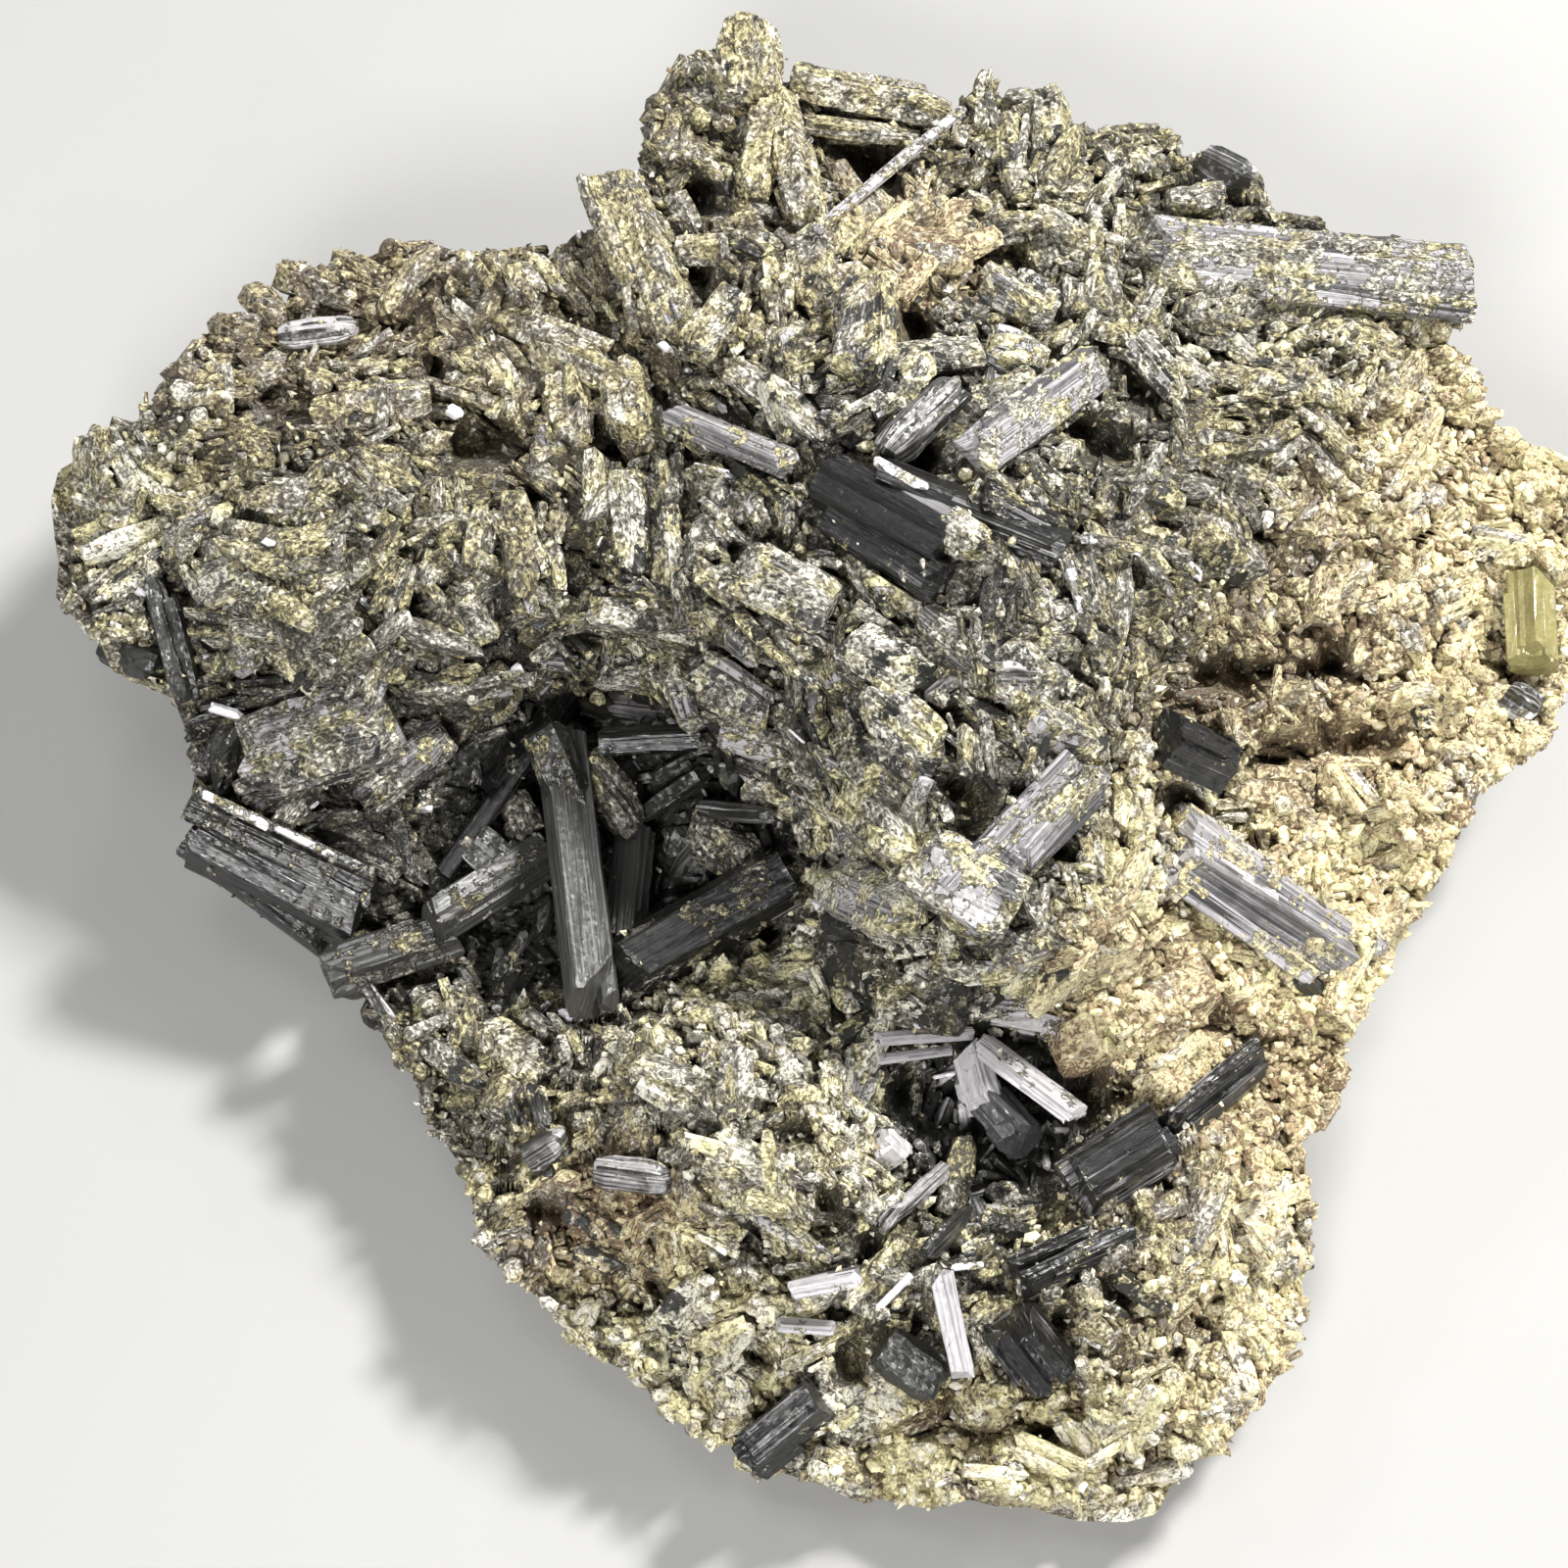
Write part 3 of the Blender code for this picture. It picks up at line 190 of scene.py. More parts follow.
# Pits: across, up, radius, depth
PITS = np.array((
    (-8.8, 59.5, 2.4, 7), (-8.4, 51.2, 2, 6), (-35.8, 42.4, 1.9, 6), (-49.5, 39.4, 2.2, 4),
    (-31.2, 34.6, 3.4, 7), (-18.4, 35.6, 2.4, 5), (13.6, 46.4, 2.4, 8), (13.4, 32.6, 3, 9),
    (37, 39.6, 2.4, 6), (33.2, 34.8, 3, 6), (8.4, 63.4, 3.2, 6), (19.8, -1.2, 2.6, 7),
    (14.4, -6.6, 2.2, 6), (28.6, -7, 1.8, 5), (46, 11, 2.6, 7), (56, 13, 2.3, 6),
    (58.4, 4.2, 2.5, 7), (52.4, 4, 2.4, 5), (40.4, -1.4, 2.2, 6), (31.6, -31, 3.2, 8),
    (-1.6, -15.8, 1.6, 4), (44.4, -23.6, 2.4, 5), (34.6, -52.4, 2.4, 5), (6.8, -59, 2.2, 5),
    (-28, -38.8, 1.8, 4), (0.8, -35.8, 2.6, 5), (20, 53.4, 1.8, 4),
    # Narrow crevices
    (-47, 38.8, 1.8, 5), (-52.4, 39.6, 1.6, 4), (-33.8, 33.4, 2.2, 6), (-28.6, 36, 1.8, 5),
    (-16.8, 33.8, 1.8, 5), (-63, 17.6, 1.4, 4), (43.6, 11.4, 2, 6), (48.6, 11.8, 1.8, 6),
    (53.4, 11.6, 1.8, 5), (55.6, 5.4, 2.2, 6), (61.4, 4, 2, 6), (49.6, 2.8, 1.8, 5),
    (12.6, 30.8, 2, 8), (11.2, 34.4, 1.8, 7), (17.6, -0.4, 2, 7), (11.8, -8, 1.8, 6),
    (30.4, 36, 2, 6), (36, 41, 1.6, 5), (28.4, -30.6, 2, 7), (34, -31.4, 2, 7),
    (-7.6, 60.6, 1.8, 7), (6.2, 64.6, 2, 6), (10.6, 62.6, 1.8, 6), (-26, 29, 1.4, 4),
    (-24.4, -43.6, 1.7, 5), (-12.6, -51.6, 1.6, 5), (8.6, -47.2, 1.8, 5), (28.6, -54.4, 1.7, 5),
    (26.4, -66.6, 1.7, 5), (-2.4, -58.8, 1.7, 5), (4.4, -42.6, 1.5, 5), (14.4, -65.4, 1.5, 5),
    (42.6, -47.4, 1.4, 5),
))


@dataclass(frozen=True)
class Zone:
    """How a part of the rock looks, round a place on the viewing plane.

    cover is how much crust hides the crystals, warmth goes from grey-green to ochre, light from
    dull to pale, partly the crust's own paleness and partly painted light and shade, grains and
    growth are how thickly grains and crystals sit, and run and spread, in degrees, are the way
    that the crystals lie and how far they stray from it.
    """

    across: float
    up: float
    reach: float
    cover: float
    warmth: float
    light: float
    grains: float
    growth: float
    run: float
    spread: float


# The light values hold painted light and shade besides the crust's paleness: they are raised on the
# low left edge and the bottom, which the lamps leave dim, and lowered in the hollow, the shelf front
# and the low left rim, where shade falls
ZONES = {
    "left tip": Zone(-68, 26, 9, 0.84, 0.46, 0.7, 0.9, 0.6, 20, 60),
    "left lobe top": Zone(-50, 44, 9, 0.88, 0.58, 0.43, 0.7, 0.8, 15, 50),
    "left lobe": Zone(-48, 30, 10, 0.84, 0.46, 0.48, 0.9, 0.7, 10, 60),
    "left lobe low": Zone(-40, 17, 8, 0.78, 0.42, 0.45, 0.8, 0.8, 80, 60),
    "left inner": Zone(-22, 38, 9, 0.84, 0.54, 0.53, 0.5, 1.1, 130, 50),
    "inner ridge": Zone(-12, 24, 9, 0.66, 0.4, 0.59, 0.4, 1.2, 100, 60),
    "shelf": Zone(-46, 4, 9, 0.54, 0.22, 0.44, 0.25, 1.2, 20, 45),
    "shelf front": Zone(-44, -12, 8, 0.5, 0.25, 0.27, 0.2, 1, 150, 50),
    "hollow": Zone(-18, -8, 9, 0.16, 0.3, 0.3, 0.08, 0.9, 70, 70),
    "top lobe": Zone(-4, 60, 11, 0.88, 0.5, 0.52, 0.5, 1.1, 110, 50),
    "top right": Zone(28, 60, 9, 0.9, 0.45, 0.58, 0.7, 1, 60, 80),
    "top rim right": Zone(46, 58, 7, 0.84, 0.4, 0.51, 0.6, 1, 20, 80),
    "rusty hollow": Zone(14, 52, 5, 0.86, 0.9, 0.35, 0.5, 1, 60, 80),
    "upper centre": Zone(18, 40, 10, 0.66, 0.38, 0.72, 0.4, 1.2, 45, 60),
    "ridge": Zone(8, 20, 10, 0.63, 0.36, 0.67, 0.5, 1, 150, 70),
    "ridge right": Zone(34, 22, 9, 0.76, 0.42, 0.41, 0.9, 0.8, 140, 80),
    "low ridge": Zone(16, -4, 9, 0.65, 0.42, 0.62, 0.5, 1.1, 130, 60),
    "ridge foot": Zone(12, -18, 7, 0.64, 0.34, 0.96, 0.3, 1, 10, 60),
    "slab foot": Zone(54, 42, 9, 0.88, 0.45, 0.56, 0.8, 0.8, 20, 60),
    "ochre top": Zone(66, 32, 9, 0.92, 0.78, 0.69, 1.7, 0.35, 30, 90),
    "ochre rim": Zone(76, 18, 8, 0.92, 0.8, 0.74, 1.8, 0.3, 30, 90),
    "ochre middle": Zone(52, 12, 9, 0.92, 0.66, 0.47, 1.3, 0.6, 30, 90),
    "ochre ledge": Zone(64, 2, 8, 0.94, 0.85, 0.63, 1.9, 0.3, 30, 90),
    "ochre low": Zone(58, -14, 8, 0.95, 0.88, 0.76, 2, 0.25, 30, 90),
    "ochre wedge": Zone(36, -22, 6, 0.9, 0.82, 0.64, 1.6, 0.4, 20, 60),
    "bundle foot": Zone(42, -4, 6, 0.92, 0.6, 0.76, 1.4, 0.6, 140, 50),
    "right foot": Zone(52, -32, 7, 0.95, 0.88, 0.52, 2, 0.25, 60, 90),
    "lower hollow": Zone(20, -34, 7, 0.2, 0.25, 0.5, 0.15, 0.9, 50, 60),
    "pale mound": Zone(-4, -28, 8, 0.94, 0.46, 0.7, 1.4, 0.55, 120, 60),
    "mound foot": Zone(0, -42, 8, 0.9, 0.48, 0.72, 1.2, 0.65, 130, 50),
    "low left": Zone(-26, -38, 9, 0.8, 0.5, 0.66, 1.1, 0.65, 60, 60),
    # Painted shade: the low left rim is made duller because its side lies in shade
    "low left painted shade": Zone(-34, -37, 6, 0.8, 0.45, 0.27, 0.9, 0.8, 60, 60),
    "brown stain": Zone(-18, -45, 6, 0.84, 0.95, 0.12, 0.6, 0.6, 40, 60),
    "low left edge": Zone(-16, -54, 7, 0.92, 0.5, 0.98, 1.3, 0.55, 40, 80),
    "low centre": Zone(12, -50, 8, 0.66, 0.42, 0.7, 0.5, 1.2, 40, 40),
    "low right": Zone(36, -48, 8, 0.88, 0.52, 0.52, 1.3, 0.6, 50, 60),
    "low right rim": Zone(48, -52, 7, 0.9, 0.72, 0.78, 1.8, 0.4, 50, 90),
    "bottom": Zone(20, -66, 9, 0.97, 0.6, 1, 1.4, 0.55, 60, 90),
    "bottom left": Zone(-2, -62, 7, 0.86, 0.56, 1, 1.3, 0.6, 40, 70),
}


class Tone(Enum):
    """What the zones say about a place, in the order in which it is kept."""

    COVER = 0
    WARMTH = 1
    # The light tone: the crust's paleness, with painted light and shade worked into it
    PALENESS_AND_PAINTED_LIGHT = 2
    GRAINS = 3
    GROWTH = 4


class Slot(Enum):
    """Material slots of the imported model."""

    MATRIX = "sugary_matrix"
    DARK = "dark_epidote"
    COATED = "coated_epidote"
    PALE = "pale_epidote"
    YELLOW = "yellow_epidote"


class Bare(Enum):
    """Kinds of bare face that a crystal shows through its crust, and their finishes' names."""

    # Every kind but the yellow one paints a reflection over the dark epidote's own colour: thin
    # streaks on the black one, more and brighter on the coated, grey and silver ones, and glints on
    # the white one
    BLACK = "black_epidote"
    GREY = "grey_epidote"
    SILVER = "silver_epidote"
    COATED = "coated_epidote"
    PAINTED_GLINT = "glinting_epidote"
    YELLOW = "yellow_epidote"


@dataclass(frozen=True)
class Large:
    """A larger crystal or group: its bare faces, its slot and a row for each prism.

    A row is start and end (each across, up and lift above the smooth rock), width, cover of crust
    from 0 to 1, depth (0 for the usual share of the width), roll in degrees, the share of painted
    reflection on the bare faces from 0 to 1, and how steeply the start and the end fall back. Where
    its last values are the usual ones, a row leaves them out.
    """

    face: Bare
    slot: Slot
    prisms: Rows


# How many values every row has, and the usual ones after them
ROW_LEAST = 8
ROW_TAIL = (0.0, 0.0, 0.5, 0.5, 1.5)

# Cover from which a crystal counts as coated
COATED_FROM = 0.5

# Painted shade and light: factor on the light tone deep in the gaps, and what it gains on its
# way out of them, so that what stands out is lit
PAINTED_SHADING_FACTOR = (0.3, 0.82)

# Larger crystals, under the names of the solids that they stand for
CRYSTALS = {
    "left_edge_bundle": Large(Bare.BLACK, Slot.DARK, (
        (-60.8, -1.8, 3, -42, -10.5, 1.5, 3.6, 0.42, 5, 20, 0.3, 0.6, 1),
        (-59.7, -4.3, 1.4, -42.8, -13.2, 0.4, 7.8, 0.26, 8, 10, 0.2, 1.5),
        (-61, -5.4, -1, -46.2, -16.2, -2, 4, 0.3, 6, 0, 0.3, 1, 2),
    )),
    "left_coated_block": Large(Bare.COATED, Slot.COATED, (
        (-54.8, 2.2, 1.5, -39.8, 6.8, 2, 8.6, 0.53, 7, 15, 0.85, 2.5, 2),
        (-43.5, -1.5, 0.5, -34.5, 5.5, 2, 5, 0.52, 6, 0, 0.7, 1.5, 1),
    )),
    "lower_left_block": Large(Bare.GREY, Slot.COATED, (
        (-33.4, -15, 3.4, -46.8, -19.6, 1.6, 5.2, 0.42, 5.6, 16, 0.7, 0.5, 3.4),
    )),
    "spray_prism": Large(Bare.GREY, Slot.DARK, (
        (-24.5, -7.4, 3, -36, -14.6, 5.5, 4.6, 0.32, 5, 25, 0.5, 0.5, 1),
    )),
    "hollow_tall_prism": Large(Bare.GREY, Slot.DARK, (
        (-23, 4.5, 3.5, -19.9, -22.6, 8, 6.2, 0.12, 6, -14, 1, 1, 4),
    )),
    "hollow_second_prism": Large(Bare.GREY, Slot.DARK, (
        (-15.2, -5, 1.5, -16.4, -16.6, 3, 4, 0.12, 4.5, 10, 0.5, 0.6, 2),
    )),
    "hollow_lying_prism": Large(Bare.BLACK, Slot.DARK, (
        (0.4, -9.6, 2, -18.2, -20.4, 6, 6.6, 0.36, 6, 12, 0.5, 1, 3.5),
    )),
    "hollow_cross_prism": Large(Bare.BLACK, Slot.DARK, (
        (-19, 4.3, 10, -8.5, 4.9, 2, 2.8, 0.2, 3, 15, 0.5, 0.4, 0.5),
    )),
    "hollow_left_rods": Large(Bare.BLACK, Slot.DARK, (
        (-26, 3, 4, -34.8, -9.5, 3, 2.2, 0.24, 2.4, 0, 0.5, 0.3, 0.6),
        (-20.8, 10.5, -8, -29.8, -0.5, 4, 3, 0.3, 3, 0, 0.5, 0.5, 0.6),
    )),
    "centre_black_blades": Large(Bare.BLACK, Slot.DARK, (
        (4.4, 31.6, 1, 17, 24.6, 0.2, 6.2, 0.18, 4.6, 6, 0.3, 0.8, 0.6),
        (5, 27.4, -0.5, 16.2, 20.4, -1, 4.6, 0.26, 4, 10, 0.5, 0.8),
        (9.4, 31.6, 1.4, 28.8, 24, 1, 3.8, 0.14, 5, 30, 0.5, 0.5, 2),
        (20.4, 29.6, 0.5, 29, 25.4, -0.5, 3, 0.4, 4, 10, 0.5, 0.5, 0.8),
    )),
    "centre_bright_prism": Large(Bare.SILVER, Slot.PALE, (
        (-11.2, 37.6, 1.5, 0.6, 32.6, 0, 2.8, 0.4, 3.4, 30, 0.75, 0.4, 0.8),
    )),
    "striated_fan": Large(Bare.SILVER, Slot.COATED, (
        (31.4, 42, -0.5, 19.6, 33.4, 1, 6.2, 0.46, 4, -18, 0.8, 1, 3.5),
    )),
    "tall_stub": Large(Bare.COATED, Slot.COATED, (
        (8.4, 51.6, 1.5, 8, 41.4, 1, 6.8, 0.6, 6, 20, 0.6, 1.2, 1),
    )),
    "top_edge_prism": Large(Bare.COATED, Slot.COATED, (
        (0.6, 71.8, 1.5, 16.9, 68.6, 1, 3.6, 0.74, 4.5, 20, 0.5, 0.6, 0.8),
    )),
    "top_needle": Large(Bare.SILVER, Slot.PALE, (
        (3.4, 56.6, 4.6, 18.2, 68.8, 3.4, 1.2, 0.5, 1.3, 0, 1, 0.3, 0.5),
    )),
    "top_peak_block": Large(Bare.COATED, Slot.COATED, (
        (-4, 76.8, 1, -3.4, 69.6, 1, 6.8, 0.71, 6, 12, 0.5, 1.2, 1),
        (-8.4, 74.4, 1.5, -3.8, 70.2, 2, 2.4, 0.69, 4, 10, 0.5, 0.5, 0.8),
    )),
    "top_left_prisms": Large(Bare.COATED, Slot.COATED, (
        (-19.6, 61.4, 0.5, -15, 50.4, 1.5, 2.8, 0.64, 4, 30, 0.8, 0.5, 0.8),
        (-16.8, 62, 0.5, -10.4, 45.6, 0.5, 5, 0.66, 5, 15, 0.7, 0.8, 1.2),
    )),
    "top_tent_prisms": Large(Bare.COATED, Slot.COATED, (
        (-1.4, 69.4, 1.5, -3.8, 59.8, 1, 4, 0.74, 4, 10, 0.5, 0.6, 0.8),
        (-0.2, 70, 1.5, 2.6, 57.2, 1, 3.6, 0.74, 4.5, 20, 0.5, 0.6, 0.8),
    )),
    "small_upper_prism": Large(Bare.COATED, Slot.COATED, (
        (-4.4, 50.2, 1, -9.4, 44.2, 3, 3.8, 0.69, 3.6, 20, 0.5, 0.6, 0.5),
    )),
    "right_rim_slab": Large(Bare.SILVER, Slot.COATED, (
        (36, 54, -1, 70, 50.6, 0, 8, 0.54, 8, 6, 0.8, 1.5, 0.8),
    )),
    "right_striated_bundle": Large(Bare.SILVER, Slot.PALE, (
        (39, -8.6, 1, 53.8, -19.2, 0.5, 3, 0.32, 5, 10, 0.9, 0.4, 1),
        (40, -6.6, 1, 56.6, -17, 0.5, 5, 0.3, 6, 20, 0.7, 0.6, 1.2),
        (40.8, -3.4, 1, 56.8, -14.4, 0.5, 2.6, 0.4, 5, 10, 0.85, 0.4, 1),
    )),
    "right_short_prism": Large(Bare.BLACK, Slot.DARK, (
        (38.6, 4.8, 2, 45, 1.8, 1.5, 5.2, 0.2, 5, 28, 0.5, 0.6, 0.6),
    )),
    "ridge_long_prisms": Large(Bare.SILVER, Slot.COATED, (
        (31, 1, -1, 21.4, -8.6, -1, 6, 0.48, 5, 10, 0.7, 1),
        (29.6, 2.6, 1, 16.6, -11, 0.8, 2.4, 0.4, 3.6, 30, 0.8, 0.5, 0.8),
        (32.4, 1.2, 1, 24.2, -8, 0.8, 2.4, 0.4, 3.6, 30, 0.8, 0.5, 0.8),
    )),
    "lower_hollow_needle_1": Large(Bare.SILVER, Slot.PALE, (
        (9.2, -26, 2, 19, -25.4, 1, 1.3, 0.12, 1.6, 20, 0.95, 0.3, 0.4),
    )),
    "lower_hollow_needle_2": Large(Bare.SILVER, Slot.PALE, (
        (9.4, -28.2, 2, 16.8, -27.2, 4, 1, 0.12, 1.4, 20, 0.95, 0.3, 0.4),
    )),
    "lower_hollow_blocks": Large(Bare.SILVER, Slot.DARK, (
        (18.8, -26.6, 3, 20.6, -33.4, 6, 4.4, 0.16, 5, 20, 1, 1.6, 1.6),
        (19.8, -26.4, 4, 30, -34, 5, 2.2, 0.3, 3.6, 20, 1, 0.5, 0.8),
        (20, -31.6, 4, 24.4, -36.6, 4, 4.6, 0.12, 7, 10, 0.1, 1.6, 1.6),
    )),
    "lower_dark_block": Large(Bare.BLACK, Slot.DARK, (
        (39.4, -35.8, 0, 29.4, -42, 1, 8, 0.22, 7, 15, 0.5, 1.2, 2),
    )),
    "lower_right_rods": Large(Bare.BLACK, Slot.DARK, (
        (48.2, -27.2, 0.5, 39.2, -34.6, 2.5, 2.6, 0.2, 3.6, 15, 0.5, 0.5, 0.8),
        (48.4, -29, 0, 40.4, -35.8, 2, 2, 0.2, 3.4, 15, 0.5, 0.5, 0.8),
    )),
    "bottom_blade": Large(Bare.SILVER, Slot.PALE, (
        (16, -49.8, 2, 18.4, -60.6, 3, 2.4, 0.1, 2.4, 18, 0.95, 1.2, 1),
    )),
    "bottom_rods": Large(Bare.BLACK, Slot.DARK, (
        (35.4, -45.8, 0.5, 24.2, -51.2, 1.5, 2.6, 0.3, 3.6, 20, 0.5, 0.5, 0.8),
        (31, -46, 0.5, 22.8, -49.6, 1, 2, 0.3, 3.4, 20, 0.5, 0.5, 0.8),
    )),
    "bottom_black_block": Large(Bare.BLACK, Slot.DARK, (
        (22.6, -54.8, 0, 27.4, -61, 0.5, 6.6, 0.08, 7, 10, 0.5, 1.6, 1.6),
    )),
    "bottom_edge_prism": Large(Bare.BLACK, Slot.DARK, (
        (4.2, -62.8, 1, -3.6, -69.2, 1, 4.8, 0.2, 6, 20, 0.5, 0.6, 1.2),
    )),
    "pale_rod_1": Large(Bare.SILVER, Slot.PALE, (
        (0.6, -51.6, 2, 7.8, -50.2, 2, 1.8, 0.16, 2.4, 20, 0.95, 0.4, 0.6),
    )),
    "pale_rod_2": Large(Bare.SILVER, Slot.PALE, (
        (-0.8, -55.2, 2, 5.2, -55.6, 2, 1.5, 0.16, 2.2, 20, 0.95, 0.4, 0.6),
    )),
    "yellow_crystal": Large(Bare.YELLOW, Slot.YELLOW, (
        (75.8, 21.2, 1, 76.2, 11.8, 2, 5.6, 0.2, 5, 20, 0.5, 2.2, 2.2),
    )),
}

# Medium crystals grown on the rock, placed one by one; rows as in Large
SET_CRYSTALS = (
    # Left lobe
    (-51.5, 45.5, 1, -43.5, 46.5, 1, 3, 0.3, 3, 10, 0.9),
    (-51.6, 52, -1, -43.6, 49.4, 0.5, 3.6, 0.76, 3.6, 20),
    (-58.6, 46.6, -1.5, -53.2, 46, 0, 4, 0.74, 3.6, 20),
    (-54.6, 50, -2, -51, 46.6, 0, 3.4, 0.76, 3.4, 20),
    (-45.4, 53.6, -2, -41, 50.6, 0, 3.6, 0.76, 3.6, 20),
    (-48.5, 38, 0.5, -36, 39.5, 0.5, 4.2, 0.74, 4, 20),
    (-29, 48, 0.5, -18, 43, 1, 3.6, 0.74, 4, 20), (-25, 44.5, 0.5, -14, 40, 1, 3.2, 0.74, 4, 10),
    (-16, 42, 0, -15, 35, 1, 5.6, 0.74, 5, 10), (-22, 41, 0, -21.5, 35, 1, 4.6, 0.74, 5, 10),
    (-16.2, 32, 1, -15, 21.5, 1, 3, 0.61, 4, 30, 0.5, 1.5, 2),
    (-27, 26.5, 0.5, -24.5, 21, 1, 3, 0.64, 3, 10),
    (-64.5, 21, 1, -61.2, 8.5, 2, 2.2, 0.24, 2.6, 10, 0.1),
    (-62.6, 19, 0.5, -59.8, 8.5, 1, 1.8, 0.2, 2.4, 10, 0.2),
    (-69.5, 14, -2, -63.5, 12, 0, 3.4, 0.14, 3, 0, 0.1), (-34, 20, 0.5, -30, 15, 1, 5, 0.7, 4, 15),
    # Top lobe and upper centre
    (-11, 54.5, 1, 0, 55, 1, 3, 0.74, 3.5, 15),
    (1.6, 67.4, 0.5, 14, 65.8, 0.5, 2.4, 0.73, 3.5, 15),
    (10, 59.2, 1, 4.8, 53.8, 1, 4.2, 0.7, 4, 15), (2.6, 56, 0.5, 3.6, 49.2, 1, 4.4, 0.7, 4, 15),
    (23.4, 67.6, 1, 23.2, 60.2, 1, 2.8, 0.63, 3, 15), (27, 70.4, 0, 27.4, 64.6, 1, 4, 0.7, 4, 5),
    (20.6, 72.4, 0, 20, 67, 0.5, 2, 0.67, 2.4, 5, 0.5, 1.4, 0.5),
    (42.8, 63.8, 0.5, 47.6, 61.2, 1, 4, 0.18, 4, 15),
    (39, 59.2, 1, 45, 59.8, 1, 3.4, 0.65, 3.4, 15),
    (20.4, 51.6, 1, 27.6, 47.6, 1, 5.2, 0.55, 5, 15, 0.7),
    (20.6, 44.6, 1, 26.6, 42.6, 1, 5, 0.54, 5, 35, 0.7),
    (35.6, 45.2, 1, 41, 39.4, 1, 3.4, 0.63, 3.6, 15),
    (17.4, 40.4, 0.5, 10.2, 33.4, 0.5, 4.4, 0.24, 4.4, 10, 0.6),
    # Ridge
    (16, 26.6, 2, 20.6, 23.4, 1.6, 4, 0.74, 3.6, 10),
    (-5, 22.5, 1, 5, 17.5, 1, 6.4, 0.58, 6, 20, 0.6, 2, 2),
    (7, 14.5, 1, 14.5, 10, 1, 5, 0.56, 5, 20), (22.6, 14.4, 1, 26.4, 9.2, 1, 4, 0.71, 4, 20),
    (24.4, 7.6, 1, 31.6, 4.2, 1, 6, 0.55, 5, 15, 0.7),
    (6.4, -1, 1, 14.4, -7.2, 1, 6.8, 0.7, 7, 15, 0.5, 2, 2),
    (3.6, -17.6, 2.4, 18.6, -21.6, 2.6, 8, 0.52, 4, 15, 0.8, 2, 2),
    (12.6, -7.2, 2.4, 23.6, -13.4, 2.8, 7.6, 0.54, 4.6, 12, 0.9, 2, 2),
    (4.6, -10, 2.6, 12.6, -13.6, 2.8, 6.2, 0.56, 4.2, 14, 0.8, 1.5),
    (8.6, 8.8, 1.6, 16.2, 3.2, 1.8, 5.4, 0.6, 4.4, 18, 0.6, 1.5),
    (21, 10.6, 1.6, 28.8, 10.2, 1.6, 4.6, 0.56, 4, 12, 0.7, 1.5),
    (-9, 11.8, 1.6, -1.6, 7.2, 1.8, 5, 0.58, 4.4, 16, 0.6, 1.5),
    (30, 23.6, 1, 32.4, 15.6, 1, 3, 0.63, 3, 15), (41, 26, 0.5, 48, 21.6, 1, 6, 0.63, 5, 15),
    (-8.8, -4.2, 2, -3.2, -8.2, 2, 5.6, 0.67, 5, 10),
    (-8.4, -2.4, 3, -1.2, -3.2, 2, 2, 0.14, 2.4, 10, 1),
    # Central hollow
    (-24.6, 6, 7.5, -20.6, -3.4, 9.5, 5.4, 0.42, 4.4, 14, 0.1, 1, 1.8),
    (-20.8, 2.6, 8, -15.4, -4.6, 5, 5, 0.73, 5, 10, 0.5, 1.5),
    (-8.2, 1, 1, -14.6, -3.4, 2, 2.2, 0.14, 3, 10, 0.8),
    (-28, -1, 3, -26, -6, 5, 3.6, 0.67, 3, 20),
    (-31.8, -5.6, 4, -26.4, -9.8, 4, 4.8, 0.22, 4, 20, 0.9),
    # Right slope
    (52, -19.4, 1, 55, -21.8, 1, 2, 0.2, 3, 20),
    (69.4, 25, 0.5, 76.2, 24, 0.5, 3.6, 0.61, 3.6, 20),
    (64.2, 6.8, 0.5, 74.2, 9.8, 0.5, 2.4, 0.64, 3, 20),
    (73.8, 9.2, 0.5, 77, 7.2, 0.5, 4, 0.24, 3.6, 20, 0.6),
    (44, -20, 3, 27.2, -27.4, 3.5, 6.4, 0.95, 6, 4, 0.5, 1, 3),
    # Lower lobes
    (-30, -25.4, 1, -24.8, -29.4, 1, 4.4, 0.67, 4, 15),
    (-28, -30.6, 0.6, -26.8, -35.8, 1, 2.2, 0.52, 2.8, 15, 0.2),
    (-25.4, -30.8, 0.6, -24.6, -35, 1, 1.8, 0.44, 2.6, 15, 0.2),
    (-36.2, -26.4, 0, -30.4, -31.4, 0.6, 3.2, 0.54, 3.4, 15, 0.2),
    (-21.8, -43, 0.8, -15.8, -46.6, 1, 3, 0.54, 3.2, 15, 0.3),
    (-21, -47.6, 0.8, -16.2, -49.4, 1, 2.6, 0.5, 3, 15, 0.3),
    (33.6, -50.2, 0.8, 39, -53.4, 1, 2.6, 0.36, 3, 15, 0.2),
    (30.4, -52.8, 0.8, 34.6, -54.6, 1, 2.2, 0.42, 2.8, 15, 0.2),
    (-8.4, -50.6, 0.8, -12.4, -56.2, 0.8, 3.4, 0.56, 3.2, 15, 0.3),
    (-26, -38.4, 1, -22.4, -36.2, 1, 3.2, 0.2, 3.2, 15, 0.6),
    (-18.8, -39.4, 1, -11.2, -40.4, 1, 3.2, 0.26, 3.4, 15, 0.8),
    (16, -39.6, 1, 10.4, -44.6, 1, 1.8, 0.24, 3, 15, 0.7),
    (18.6, -43.8, 1, 14.4, -48.2, 1, 2, 0.24, 3, 15),
    (9.2, -36.2, 1, 11.6, -38.4, 1, 3.6, 0.18, 3.6, 15, 0.9),
    (10, -57, 0.5, 16, -61.4, 0.5, 5, 0.18, 4, 10, 0.1),
)
